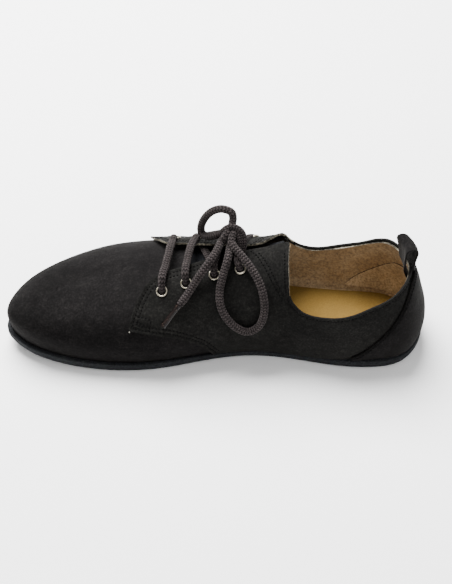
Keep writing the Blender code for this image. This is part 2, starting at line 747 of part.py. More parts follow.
# The knot is two wraps over the top crossing. The loops and the ends start from it, the long ones on the
# medial side, and each end has a moulded tip.
KNOT_CENTRE = (0.0889, -0.0140, 0.0778)
KNOT_LENGTH = 0.0140
KNOT_RADIUS = 0.0052
KNOT_SIDES = 12
KNOT_PROFILE = (
    # shares of half the length and of the radius
    (1.00, 0.00),
    (0.94, 0.40),
    (0.76, 0.78),
    (0.46, 0.98),
    (0.14, 0.88),
    (-0.12, 0.88),
    (-0.44, 1.00),
    (-0.74, 0.82),
    (-0.94, 0.42),
    (-1.00, 0.00),
)
TIP_WIDTH = 0.0036
ROUTES = {
    "lace_loop_near": (
        (0.0860, -0.0052, 0.0765),
        (0.0834, 0.0035, 0.0742),
        (0.0774, 0.0104, 0.0699),
        (0.0725, 0.0169, 0.0638),
        (0.0697, 0.0229, 0.0556),
        (0.0693, 0.0268, 0.0467),
        (0.0717, 0.0292, 0.0380),
        (0.0760, 0.0302, 0.0331),
        (0.0810, 0.0305, 0.0318),
        (0.0871, 0.0303, 0.0354),
        (0.0927, 0.0289, 0.0414),
        (0.0967, 0.0260, 0.0480),
        (0.0984, 0.0215, 0.0541),
        (0.0979, 0.0161, 0.0600),
        (0.0957, 0.0099, 0.0665),
        (0.0930, 0.0042, 0.0725),
        (0.0912, -0.0042, 0.0768),
    ),
    "lace_loop_far": (
        (0.0899, -0.0178, 0.0850),
        (0.0896, -0.0195, 0.0872),
        (0.0906, -0.0215, 0.0903),
        (0.0968, -0.0235, 0.0915),
        (0.1033, -0.0250, 0.0878),
        (0.1084, -0.0260, 0.0800),
        (0.1105, -0.0255, 0.0732),
        (0.1101, -0.0240, 0.0690),
        (0.1066, -0.0205, 0.0695),
        (0.1017, -0.0175, 0.0730),
        (0.0972, -0.0158, 0.0768),
    ),
    "lace_end_near": (
        (0.0972, -0.0092, 0.0752),
        (0.1007, -0.0012, 0.0742),
        (0.1046, 0.0053, 0.0724),
        (0.1085, 0.0092, 0.0688),
        (0.1124, 0.0120, 0.0638),
        (0.1166, 0.0158, 0.0584),
        (0.1208, 0.0205, 0.0538),
        (0.1243, 0.0238, 0.0507),
    ),
    "lace_end_far": (
        (0.0868, -0.0222, 0.0722),
        (0.0860, -0.0281, 0.0660),
        (0.0869, -0.0338, 0.0609),
        (0.0891, -0.0388, 0.0558),
        (0.0925, -0.0435, 0.0502),
        (0.0971, -0.0480, 0.0443),
        (0.1030, -0.0519, 0.0389),
        (0.1083, -0.0547, 0.0348),
        (0.1113, -0.0561, 0.0327),
    ),
    "lace_tip_near": (
        (0.1245, 0.0240, 0.0505),
        (0.1299, 0.0290, 0.0456),
        (0.1352, 0.0337, 0.0403),
    ),
    "lace_tip_far": (
        (0.1116, -0.0562, 0.0325),
        (0.1173, -0.0581, 0.0292),
        (0.1239, -0.0599, 0.0255),
    ),
}


def make_knot():
    profile = [(along * 0.5 * KNOT_LENGTH, across * KNOT_RADIUS) for along, across in KNOT_PROFILE]
    mesh = bpy.data.meshes.new("lace_knot")
    mesh.from_pydata([(along, 0.0, across) for along, across in profile],
                     [(number, number + 1) for number in range(len(profile) - 1)], [])
    mesh.materials.append(LACE_YARN)
    knot = bpy.data.objects.new("lace_knot", mesh)
    SHOE.objects.link(knot)
    turn = knot.modifiers.new("turn", "SCREW")
    turn.axis = "X"
    turn.steps = KNOT_SIDES
    turn.render_steps = KNOT_SIDES
    turn.merge_threshold = 0.00001
    turn.use_merge_vertices = True
    knot.location = KNOT_CENTRE
    return knot


make_outsole()
make_insole()
make_upper()
make_tongue()
make_counter()
make_pull_loop()
for side_name, side in (("medial", 1.0), ("lateral", -1.0)):
    quarter = make_quarter("quarter_" + side_name, side)
    for number in range(len(EYELETS)):
        seat, outwards = eyelet_seat(side, number)
        cut_eyelet_hole(quarter, seat, outwards)
        make_eyelet("eyelet_%s_%d" % (side_name, number + 1), seat, outwards)
for number in range(len(EYELETS)):
    make_bar(number)
make_knot()
for name, route in ROUTES.items():
    is_tip = name.startswith("lace_tip")
    tube(name, route, TIP_WIDTH if is_tip else LACE_WIDTH, TIP_PLASTIC if is_tip else LACE_YARN)
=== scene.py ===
# %% [markdown]
# # A barefoot derby shoe
# A barefoot shoe is a foot-shaped sock of suede on a thin, flat rubber sole. This lesson dresses the packed
# model of a right shoe. It mixes the finishes and lays the free parts of the lace. Then the leather is cut as
# flat blanks and laid on the last, and the sole, the eyelets, the crossings and the knot follow.
# Everything is in metres, +X to the toe, +Y to the medial side, with the floor at zero.

# %% Load the model
import json
import math

import bpy
import numpy as np
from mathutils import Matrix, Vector
from mathutils.bvhtree import BVHTree

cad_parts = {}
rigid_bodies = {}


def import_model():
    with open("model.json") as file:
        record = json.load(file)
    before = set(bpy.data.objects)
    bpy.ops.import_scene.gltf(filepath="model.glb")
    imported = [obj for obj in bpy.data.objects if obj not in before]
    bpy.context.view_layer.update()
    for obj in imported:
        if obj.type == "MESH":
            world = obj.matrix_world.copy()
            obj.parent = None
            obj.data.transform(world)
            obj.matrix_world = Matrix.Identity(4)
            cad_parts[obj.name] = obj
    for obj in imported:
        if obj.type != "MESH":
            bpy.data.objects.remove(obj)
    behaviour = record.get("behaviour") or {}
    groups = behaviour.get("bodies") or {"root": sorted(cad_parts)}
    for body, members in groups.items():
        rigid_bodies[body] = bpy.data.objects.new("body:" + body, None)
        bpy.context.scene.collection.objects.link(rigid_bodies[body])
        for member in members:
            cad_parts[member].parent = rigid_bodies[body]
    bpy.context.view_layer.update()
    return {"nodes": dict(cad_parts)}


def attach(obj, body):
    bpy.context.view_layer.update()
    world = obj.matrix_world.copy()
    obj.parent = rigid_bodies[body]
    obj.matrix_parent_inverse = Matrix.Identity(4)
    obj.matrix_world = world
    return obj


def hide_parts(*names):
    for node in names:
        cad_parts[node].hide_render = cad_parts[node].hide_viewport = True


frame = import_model()
MM = 0.001
rng = np.random.default_rng(7)
print("CAD nodes:", len(frame["nodes"]))

# %% [markdown]
# ## The camera
# The photograph looks down on the medial side from a steep angle, with a long lens. The small shift, in
# pixels of the picture, puts the shoe where it sits in the photograph.

# %% Camera
CAMERA_ELEVATION = math.radians(48.0)
CAMERA_TARGET = Vector((0.101, -0.005, 0.030))
CAMERA_DISTANCE = 0.90
LENS_MM, SENSOR_MM = 82.15, 36.0
IMAGE_HEIGHT = 584.0
SHIFT_ACROSS, SHIFT_UP = 10.49, 1.41
toward_camera = Vector((0.0, math.cos(CAMERA_ELEVATION), math.sin(CAMERA_ELEVATION)))
bpy.ops.object.select_all(action="DESELECT")
bpy.ops.object.camera_add(
    location=CAMERA_TARGET + toward_camera * CAMERA_DISTANCE,
    rotation=(math.pi / 2.0 - CAMERA_ELEVATION, 0.0, math.pi),
)
camera = bpy.context.object
camera.data.lens = LENS_MM
camera.data.sensor_width = SENSOR_MM
camera.data.shift_x = SHIFT_ACROSS / IMAGE_HEIGHT
camera.data.shift_y = SHIFT_UP / IMAGE_HEIGHT
bpy.context.scene.camera = camera
print("camera at", [round(value, 3) for value in camera.location])

# %% [markdown]
# ## Finishes
# A finish is a small tree of nodes. These helpers keep each tree short: a noise at a real size, a ramp of
# colours and a bump whose depth is in metres. All patterns but the braid's read Object coordinates, in
# metres, so a scale of 1000 is a grain of about a millimetre.


# %% Finish helpers
class Finish:
    """A material under construction, with its Principled shader."""

    def __init__(self, name, roughness, specular=0.5, metallic=0.0):
        self.material = bpy.data.materials.new(name)
        self.material.use_nodes = True
        self.nodes = self.material.node_tree.nodes
        self.links = self.material.node_tree.links
        self.shader = self.nodes["Principled BSDF"]
        self.place = self.nodes.new("ShaderNodeTexCoord").outputs
        self.height = None
        self.put("Roughness", roughness)
        self.put("Specular IOR Level", specular)
        self.put("Metallic", metallic)

    def feed(self, socket, value):
        """Joins a socket to a pattern, or sets it to a number, a vector or a colour."""
        if isinstance(value, bpy.types.NodeSocket):
            self.links.new(value, socket)
        else:
            socket.default_value = (*value, 1.0) if socket.type == "RGBA" else value

    def put(self, name, value):
        self.feed(self.shader.inputs[name], value)

    def node(self, kind, **inputs):
        node = self.nodes.new("ShaderNode" + kind)
        for name, value in inputs.items():
            self.feed(node.inputs[name], value)
        return node

    def sheen(self, weight, roughness, tint):
        self.put("Sheen Weight", weight)
        self.put("Sheen Roughness", roughness)
        self.put("Sheen Tint", tint)

    def noise(self, scale, detail=3.0, roughness=0.55, stretch=None):
        """A cloud of that many grains to the metre, pulled out along an axis if stretch says so."""
        source = self.place["Object"]
        if stretch:
            source = self.node("Mapping", Vector=source, Scale=stretch).outputs["Vector"]
        cloud = self.node("TexNoise", Vector=source, Scale=scale, Detail=detail, Roughness=roughness)
        return cloud.outputs["Fac"]

    def spots(self, scale):
        """The distance to scattered points, so many to the metre."""
        return self.node("TexVoronoi", Vector=self.place["Object"], Scale=scale).outputs["Distance"]

    def ramp(self, factor, *stops):
        """Colours, or greys given as one number, along a factor."""
        band = self.node("ValToRGB", Fac=factor)
        elements = band.color_ramp.elements
        while len(elements) < len(stops):
            elements.new(0.5)
        for element, (position, colour) in zip(elements, stops):
            element.position = position
            element.color = (colour, colour, colour, 1.0) if isinstance(colour, float) else (*colour, 1.0)
        return band.outputs["Color"]

    def mix(self, blend, factor, first, second):
        """Two colours mixed; a factor may be a number or a pattern."""
        node = self.nodes.new("ShaderNodeMix")
        node.data_type = "RGBA"
        node.blend_type = blend
        for number, value in ((0, factor), (6, first), (7, second)):
            self.feed(node.inputs[number], value)
        return node.outputs[2]

    def shade(self, colour, factor, *stops):
        """A colour made darker or lighter by a pattern, through a ramp."""
        return self.mix("MULTIPLY", 1.0, colour, self.ramp(factor, *stops))

    def calc(self, operation, first, second=0.0):
        node = self.nodes.new("ShaderNodeMath")
        node.operation = operation
        self.feed(node.inputs[0], first)
        self.feed(node.inputs[1], second)
        return node.outputs[0]

    def bump(self, height, distance, strength=1.0):
        """Adds relief of that depth in metres over the relief made so far."""
        node = self.node("Bump", Strength=strength, Distance=distance, Height=height)
        if self.height is not None:
            self.feed(node.inputs["Normal"], self.height)
        self.height = node.outputs["Normal"]
        self.put("Normal", self.height)

    def paint(self, colour):
        self.put("Base Color", colour)
        return self.material

    def roughen(self, factor, low, high):
        self.put("Roughness", self.ramp(factor, (0.0, low), (1.0, high)))


# %% [markdown]
# ## Suede, nubuck and linings
# Suede is split leather with a raised nap: it has almost no gloss, a soft sheen at its edges where the
# fibres catch light, and clouds where the nap was stroked one way or the other. Nubuck is finer and flatter.
# The inside is the flesh side of the same hide, undyed. Most cut edges are dyed, and a few are left raw.


# %% Leather finishes
def nap_leather(name, dark, mid, light, sheen, nap):
    finish = Finish(name, 0.93, 0.05)
    finish.sheen(sheen, 0.42, (0.93, 0.88, 0.84))
    clouds = finish.noise(26.0, 4.0, 0.6)
    strokes = finish.noise(230.0, 5.0, 0.66, stretch=(0.7, 1.0, 1.25))
    fibres = finish.noise(760.0, 4.0, 0.78)
    colour = finish.ramp(strokes, (0.30, dark), (0.52, mid), (0.74, light))
    colour = finish.shade(colour, clouds, (0.32, 0.72), (0.68, 1.28))
    colour = finish.shade(colour, fibres, (0.38, 0.55), (0.52, 0.96), (0.64, 1.80))
    finish.bump(strokes, 0.00025 * nap, 0.6)
    finish.bump(fibres, 0.00022 * nap, 0.8)
    return finish.paint(colour)


VAMP_SUEDE = nap_leather(
    "vamp_suede_nap", (0.0027, 0.0024, 0.0024), (0.0041, 0.0037, 0.0037), (0.0068, 0.0061, 0.0059), 0.032, 1.0
)
QUARTER_NUBUCK = nap_leather(
    "quarter_nubuck", (0.0042, 0.0041, 0.0038), (0.0062, 0.0060, 0.0055), (0.0090, 0.0087, 0.0079), 0.030, 0.8
)
TONGUE_NUBUCK = nap_leather(
    "tongue_nubuck", (0.0028, 0.0029, 0.0035), (0.0040, 0.0042, 0.0051), (0.0060, 0.0062, 0.0074), 0.018, 0.6
)


def flesh_side(name, dark, mid, light):
    finish = Finish(name, 0.90, 0.2)
    finish.sheen(0.12, 0.5, (1.0, 0.92, 0.80))
    clouds = finish.noise(38.0, 5.0, 0.6)
    grain = finish.noise(620.0, 4.0, 0.65)
    pores = finish.spots(420.0)
    colour = finish.ramp(clouds, (0.30, dark), (0.52, mid), (0.72, light))
    colour = finish.shade(colour, grain, (0.34, 0.58), (0.62, 1.26))
    where = finish.ramp(finish.noise(95.0, 2.0), (0.50, 0.0), (0.64, 1.0))
    colour = finish.mix("MULTIPLY", where, colour, finish.ramp(pores, (0.05, 0.35), (0.16, 1.0)))
    finish.bump(grain, 0.00030, 0.8)
    finish.bump(pores, 0.00015, 0.5)
    return finish.paint(colour)


LINING = flesh_side("flesh_side_lining", (0.166, 0.106, 0.053), (0.228, 0.155, 0.082), (0.300, 0.218, 0.128))
# The heel grip is the lining's suede made lighter: painted light that offsets the deeper shade inside the
# heel.
HEEL_GRIP_PAINTED_LIGHT = flesh_side("flesh_side_grip_painted_light", (0.235, 0.160, 0.088), (0.310, 0.226, 0.134), (0.400, 0.305, 0.195))

raw = Finish("raw_cut_edge", 0.92, 0.2)
raw_fibres = raw.noise(900.0, 4.0, 0.7)
raw_colour = raw.ramp(raw_fibres, (0.36, (0.030, 0.027, 0.021)), (0.64, (0.300, 0.270, 0.205)))
raw_colour = raw.shade(raw_colour, raw.noise(130.0, 3.0, 0.6), (0.40, 0.30), (0.58, 1.0))
raw.bump(raw_fibres, 0.0003)
RAW_EDGE = raw.paint(raw_colour)

dyed = Finish("dyed_cut_edge", 0.9, 0.08)
dyed_fibres = dyed.noise(900.0, 4.0, 0.7)
dyed_colour = dyed.ramp(dyed_fibres, (0.36, (0.0016, 0.0015, 0.0014)), (0.72, (0.0080, 0.0074, 0.0064)))
dyed.bump(dyed_fibres, 0.0003)
DYED_EDGE = dyed.paint(dyed_colour)

sheet = Finish("insole_leather_grain", 0.85, 0.06)
sheet_grain = sheet.noise(1300.0, 4.0, 0.6)
sheet_clouds = sheet.noise(30.0, 4.0, 0.55)
sheet_colour = sheet.ramp(sheet_clouds, (0.32, (0.136, 0.079, 0.0180)), (0.68, (0.166, 0.101, 0.0260)))
sheet_colour = sheet.shade(sheet_colour, sheet_grain, (0.34, 0.84), (0.64, 1.10))
sheet.bump(sheet_grain, 0.00012, 0.7)
INSOLE_LEATHER = sheet.paint(sheet_colour)

# %% [markdown]
# ## Rubber, metal, yarn and plastic
# The sole is a moulded rubber with a fine spark-eroded grain. The eyelets are nickel. The lace is a round
# braid, whose pattern runs on its own UV map, so it follows every bend. The tips are shrunk plastic film,
# with glints painted into their colour.

# %% Hard finishes
rubber = Finish("moulded_rubber", 0.70, 0.07)
rubber_grain = rubber.noise(1100.0, 3.0, 0.6)
rubber_clouds = rubber.noise(45.0, 3.0, 0.55)
rubber_dust = rubber.ramp(rubber.noise(380.0, 5.0, 0.7), (0.55, 0.0), (0.78, 0.30))
rubber_colour = rubber.ramp(rubber_clouds, (0.34, (0.0085, 0.0092, 0.0102)), (0.66, (0.0130, 0.0139, 0.0152)))
rubber_colour = rubber.shade(rubber_colour, rubber_grain, (0.36, 0.55), (0.50, 0.95), (0.64, 1.75))
rubber_colour = rubber.mix("MIX", rubber_dust, rubber_colour, (0.030, 0.0306, 0.0312))
rubber.bump(rubber_grain, 0.00030, 0.9)
rubber.roughen(rubber_clouds, 0.60, 0.82)
RUBBER = rubber.paint(rubber_colour)

nickel = Finish("brushed_nickel", 0.30, metallic=1.0)
nickel_wear = nickel.noise(520.0, 4.0, 0.6)
nickel.roughen(nickel_wear, 0.22, 0.48)
nickel.bump(nickel.noise(2400.0, 2.0), 0.00004, 0.4)
NICKEL = nickel.paint(nickel.ramp(nickel_wear, (0.35, (0.24, 0.215, 0.165)), (0.65, (0.42, 0.385, 0.315))))

# Columns of stitches round a lace, and rows of stitches in a length of lace as long as its girth
BRAID_COLUMNS = 8.0
BRAID_ROWS = 7.0
yarn = Finish("braided_yarn", 0.86, 0.08)
yarn.sheen(0.045, 0.45, (0.95, 0.88, 0.85))
yarn_around, yarn_ahead, _ = yarn.node("SeparateXYZ", Vector=yarn.place["UV"]).outputs
yarn_fold = yarn.calc("PINGPONG", yarn.calc("MULTIPLY", yarn_around, BRAID_COLUMNS), 0.5)
yarn_along = yarn.calc("MULTIPLY", yarn_ahead, BRAID_ROWS * math.tau)
yarn_check = yarn.calc("SINE", yarn.calc("ADD", yarn.calc("MULTIPLY", yarn_fold, math.tau), yarn_along))
yarn_fuzz = yarn.noise(2600.0, 2.0, 0.7)
yarn_tone = yarn.noise(300.0, 3.0)
# The braid's light and dark are partly its speckled yarn and partly painted shade in the hollows that
# yarn_check also bumps
yarn_colour = yarn.ramp(
    yarn.calc("ADD", yarn.calc("MULTIPLY", yarn_check, 0.5), 0.5),
    (0.0, (0.0050, 0.0040, 0.0040)), (0.34, (0.0150, 0.0120, 0.0119)), (0.85, (0.0310, 0.0250, 0.0243)),
)
yarn_colour = yarn.shade(yarn_colour, yarn_fuzz, (0.34, 0.65), (0.66, 1.35))
yarn_colour = yarn.shade(yarn_colour, yarn_tone, (0.34, 0.70), (0.66, 1.30))
# Painted shade: a dark line in the groove between the braid's columns
yarn_colour = yarn.shade(yarn_colour, yarn_fold, (0.03, 0.32), (0.17, 1.0))
yarn.bump(yarn_check, 0.00022, 0.8)
yarn.bump(yarn_fuzz, 0.00010, 0.7)
BRAID = yarn.paint(yarn_colour)

thread = Finish("bonded_thread", 0.8, 0.06)
thread.bump(thread.noise(3000.0, 2.0), 0.00008)
thread_colours = (0.36, (0.0008, 0.0008, 0.0008)), (0.66, (0.0018, 0.0017, 0.0016))
THREAD = thread.paint(thread.ramp(thread.noise(700.0, 2.0), *thread_colours))

pale = Finish("pale_thread_end", 0.7)
pale.bump(pale.noise(2600.0, 2.0), 0.0001)
pale_colours = (0.3, (0.16, 0.15, 0.13)), (0.7, (0.26, 0.25, 0.21))
PALE_THREAD = pale.paint(pale.ramp(pale.noise(900.0, 2.0), *pale_colours))

film = Finish("tip_film", 0.24, 0.15)
film.put("Coat Weight", 0.10)
film.put("Coat Roughness", 0.12)
# Painted glints: light specks, mixed into the film's colour where a patchy mask allows, stand in for its
# sparkle
film_painted_glints = film.ramp(film.spots(1100.0), (0.10, 1.0), (0.17, 0.0))
film_glint_mask = film.ramp(film.noise(260.0, 2.0), (0.50, 0.0), (0.58, 0.8))
film_colours = (0.34, (0.0030, 0.0018, 0.0016)), (0.66, (0.0085, 0.0050, 0.0042))
film_colour = film.ramp(film.noise(420.0, 3.0), *film_colours)
film_colour = film.mix("MIX", film.calc("MULTIPLY", film_painted_glints, film_glint_mask), film_colour, (0.22, 0.16, 0.11))
film.bump(film.noise(900.0, 3.0), 0.00015, 0.6)
TIP_FILM = film.paint(film_colour)
print("finishes:", len(bpy.data.materials))


# %% [markdown]
# ## Placing and finishing a piece
# Each piece ends at the origin with its place in its mesh, rides on the one body of the shoe and hides
# the plain solids it stands for.


# %% Piece helpers
SMOOTH_ANGLE = math.radians(50.0)


def only(piece):
    """Selects one piece alone and makes it active."""
    bpy.ops.object.select_all(action="DESELECT")
    piece.select_set(True)
    bpy.context.view_layer.objects.active = piece


def edit(piece, select="SELECT"):
    """Opens a piece in Edit Mode with all of it selected, or with none of it."""
    only(piece)
    bpy.ops.object.mode_set(mode="EDIT")
    bpy.ops.mesh.select_all(action=select)


def end_edit():
    bpy.ops.object.mode_set(mode="OBJECT")


def apply_modifiers(piece):
    only(piece)
    for modifier in list(piece.modifiers):
        bpy.ops.object.modifier_apply(modifier=modifier.name)


def dress(piece, slot, *nodes):
    """Smooth, riding on the shoe, with the solids it stands for hidden. The slot is not used."""
    only(piece)
    bpy.ops.object.shade_smooth_by_angle(angle=SMOOTH_ANGLE)
    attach(piece, "root")
    if nodes:
        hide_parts(*nodes)
    print(piece.name, len(piece.data.polygons), "faces")
    return piece


def add_mesh(name, points, faces, material):
    mesh = bpy.data.meshes.new(name)
    mesh.from_pydata([tuple(point) for point in points], [], faces)
    mesh.materials.append(material)
    piece = bpy.data.objects.new(name, mesh)
    bpy.context.scene.collection.objects.link(piece)
    return piece


def take_shape(piece):
    """The points and faces of a piece that was only modelled to be copied."""
    points = np.array([vertex.co[:] for vertex in piece.data.vertices])
    # Sorted, because a primitive's faces come in another order in each run
    faces = sorted(tuple(face.vertices) for face in piece.data.polygons)
    bpy.data.objects.remove(piece)
    return points, faces


def add_copies(name, copies, faces, material):
    """One mesh of many copies of a shape, each with points of its own."""
    count = len(copies[0])
    every = []
    for number in range(len(copies)):
        every += [tuple(number * count + corner for corner in face) for face in faces]
    return add_mesh(name, np.vstack(copies), every, material)


# %% [markdown]
# ## A braided lace
# A lace is a soft round braid. It is made as a tube of rings along a smooth curve through its route, and
# the braid's slanted stitches are raised a tenth of a millimetre in the mesh. Each ring keeps its turn from
# the ring before, so the braid doesn't twist where the lace bends. A loose braid is plumper than its stated
# width.


# %% Lace helpers
LACE_WIDTH = 0.0044
PLUMP = 1.18
RING_STEP = 0.0004
RING_SIDES = 32
BRAID_RELIEF = 0.00010
CURVE_STEPS = 24


def runs_along(line):
    """How far along a line each of its points is."""
    return np.concatenate(([0.0], np.cumsum(np.linalg.norm(np.diff(line, axis=0), axis=1))))


def read_line(line, at, runs):
    return np.column_stack([np.interp(at, runs, line[:, axis]) for axis in range(3)])


def smooth_route(points, step):
    """Points a short step apart on the smooth curve through a route."""
    points = np.asarray(points, float)
    ends = np.vstack([2 * points[0] - points[1], points, 2 * points[-1] - points[-2]])
    out = []
    for number in range(1, len(ends) - 2):
        p0, p1, p2, p3 = ends[number - 1:number + 3]
        t0 = 0.0
        t1 = t0 + np.linalg.norm(p1 - p0) ** 0.5
        t2 = t1 + np.linalg.norm(p2 - p1) ** 0.5
        t3 = t2 + np.linalg.norm(p3 - p2) ** 0.5
        t = np.linspace(t1, t2, CURVE_STEPS, endpoint=False)[:, None]
        a1 = (t1 - t) / (t1 - t0) * p0 + (t - t0) / (t1 - t0) * p1
        a2 = (t2 - t) / (t2 - t1) * p1 + (t - t1) / (t2 - t1) * p2
        a3 = (t3 - t) / (t3 - t2) * p2 + (t - t2) / (t3 - t2) * p3
        b1 = (t2 - t) / (t2 - t0) * a1 + (t - t0) / (t2 - t0) * a2
        b2 = (t3 - t) / (t3 - t1) * a2 + (t - t1) / (t3 - t1) * a3
        out.append((t2 - t) / (t2 - t1) * b1 + (t - t1) / (t2 - t1) * b2)
    dense = np.vstack(out + [points[-1:]])
    runs = runs_along(dense)
    count = max(3, int(round(runs[-1] / step)) + 1)
    return read_line(dense, np.linspace(0.0, runs[-1], count), runs)


def ring_frames(path):
    """Two cross directions for each ring, carried along the path without twist."""
    ahead = np.gradient(path, axis=0)
    ahead /= np.linalg.norm(ahead, axis=1)[:, None]
    first = np.cross(ahead[0], (0.0, 0.0, 1.0))
    if np.linalg.norm(first) < 0.2:
        first = np.cross(ahead[0], (0.0, 1.0, 0.0))
    across = [first / np.linalg.norm(first)]
    for direction in ahead[1:]:
        carried = across[-1] - direction * np.dot(across[-1], direction)
        across.append(carried / np.linalg.norm(carried))
    across = np.array(across)
    return across, np.cross(ahead, across)


def lace(name, route, width=LACE_WIDTH, material=BRAID, radii=None, relief=BRAID_RELIEF, flat=None):
    """A braided tube along a route, and its path. Radii are shares of its half width along the way, and flat
    gives how much its height is pressed along the way."""
    path = smooth_route(route, RING_STEP)
    across, above = ring_frames(path)
    rings = len(path)
    angles = np.linspace(0.0, math.tau, RING_SIDES, endpoint=False)
    run = np.linspace(0.0, 1.0, rings)
    length = np.linalg.norm(np.diff(path, axis=0), axis=1).sum()
    along = run * length / (math.pi * width)
    size = np.ones(rings) if radii is None else np.interp(run, *zip(*radii))
    squash = np.ones(rings) if flat is None else np.interp(run, *zip(*flat))
    column = (BRAID_COLUMNS * angles / math.tau) % 1.0
    fold = np.minimum(column, 1.0 - column)
    height = relief * np.sin(math.tau * (BRAID_ROWS * along[:, None] + fold[None, :]))
    radius = 0.5 * width * PLUMP * size[:, None] + height
    points = (path[:, None, :] + across[:, None, :] * (radius * np.cos(angles))[:, :, None]
              + above[:, None, :] * (radius * np.sin(angles) * squash[:, None])[:, :, None])
    points = points.reshape(-1, 3)
    faces = []
    for ring in range(rings - 1):
        for side in range(RING_SIDES):
            after = (side + 1) % RING_SIDES
            here, there = ring * RING_SIDES, (ring + 1) * RING_SIDES
            faces.append((here + side, here + after, there + after, there + side))
    faces.append(tuple(range(RING_SIDES))[::-1])
    faces.append(tuple((rings - 1) * RING_SIDES + side for side in range(RING_SIDES)))
    piece = add_mesh(name, points, faces, material)
    chart = piece.data.uv_layers.new(name="UVMap")
    corners = []
    for ring in range(rings - 1):
        for side in range(RING_SIDES):
            left, right = side / RING_SIDES, (side + 1) / RING_SIDES
            near, far = along[ring], along[ring + 1]
            corners += [left, near, right, near, right, far, left, far]
    corners += [0.0, 0.0] * RING_SIDES + [0.0, float(along[-1])] * RING_SIDES
    chart.data.foreach_set("uv", np.array(corners, dtype=np.float32))
    return piece, path


# %% [markdown]
# ## The free parts of the lace
# The bow has one long loop that hangs over the medial side, one short loop that stands up, and two ends
# with plastic tips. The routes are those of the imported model, but the near loop's ends are drawn in further
# under the knot. The standing loop is held up by the braid's stiffness and by the knot, as in the photograph.

# %% Bow and ends
ROUTES = {
    # in millimetres
    "lace_loop_near": (
        (90.5, -5.7, 78.1), (88.7, -2.7, 76.8), (84.0, 2.5, 74.5), (77.4, 10.4, 69.9),
        (72.5, 16.9, 63.8), (69.7, 22.9, 55.6), (69.3, 26.8, 46.7), (71.7, 29.2, 38.0),
        (76.0, 30.2, 33.1), (81.0, 30.5, 31.8), (87.1, 30.3, 35.4), (92.7, 28.9, 41.4),
        (96.7, 26.0, 48.0), (98.4, 21.5, 54.1), (97.9, 16.1, 60.0), (95.7, 9.9, 66.5),
        (93.2, 3.8, 72.2), (91.4, -6.0, 74.8),
    ),
    "lace_loop_far": (
        (89.9, -17.8, 85.0), (89.6, -19.5, 87.2), (90.6, -21.5, 90.3), (96.8, -23.5, 91.5),
        (103.3, -25.0, 87.8), (108.4, -26.0, 80.0), (110.5, -25.5, 73.2), (110.1, -24.0, 69.0),
        (106.6, -20.5, 69.5), (101.7, -17.5, 73.0), (97.2, -15.8, 76.8),
    ),
    "lace_end_near": (
        (97.2, -9.2, 75.2), (100.7, -1.2, 74.2), (104.6, 5.3, 72.4), (108.5, 9.2, 68.8),
        (112.4, 12.0, 63.8), (116.6, 15.8, 58.4), (120.8, 20.5, 53.8), (124.3, 23.8, 50.7),
    ),
    "lace_end_far": (
        (86.8, -22.2, 72.2), (86.0, -28.1, 66.0), (86.9, -33.8, 60.9), (89.1, -38.8, 55.8),
        (92.5, -43.5, 50.2), (97.1, -48.0, 44.3), (103.0, -51.9, 38.9), (108.3, -54.7, 34.8),
        (111.3, -56.1, 32.7),
    ),
    "lace_tip_near": ((124.5, 24.0, 50.5), (129.9, 29.0, 45.6), (135.2, 33.7, 40.3)),
    "lace_tip_far": ((111.6, -56.2, 32.5), (117.3, -58.1, 29.2), (123.9, -59.9, 25.5)),
}
for name, spots in ROUTES.items():
    ROUTES[name] = [tuple(round(value * MM, 4) for value in spot) for spot in spots]
TIP_WIDTH = 0.0031
TIP_RELIEF = 0.00003
TIP_FLAT = ((0.0, 1.0), (0.3, 0.92), (1.0, 0.88))
TIP_RADII = ((0.0, 1.02), (0.08, 1.05), (0.16, 0.94), (0.45, 0.94), (0.60, 0.98), (0.90, 1.06), (0.985, 1.08),
             (1.0, 1.00))
END_RADII = ((0.0, 1.0), (0.93, 1.0), (1.0, 0.84))

for side_name in ("near", "far"):
    route = ROUTES["lace_tip_" + side_name]
    tip, _ = lace("lace_tip_piece_" + side_name, route, TIP_WIDTH, TIP_FILM, TIP_RADII, TIP_RELIEF, TIP_FLAT)
    dress(tip, "tip_plastic", "lace_tip_" + side_name)
for node, length, far_end, radii in (
    ("lace_loop_near", 0.138, "object", None),
    ("lace_loop_far", 0.060, "object", None),
    ("lace_end_near", 0.0515, "fitting", END_RADII),
    ("lace_end_far", 0.061, "fitting", END_RADII),
):
    piece, path = lace(node + "_braid", ROUTES[node], radii=radii)
    dress(piece, "lace_yarn", node)

# %% [markdown]
# ## The last
# A last is the foot-shaped block that a shoe is made on. Here it is a table of sections from the heel's
# back to the toe's tip. A place round the shoe is a section's number, positive on the medial side and
# negative on the lateral one, and a share is how far up the section a point is, from the sole to the crest.

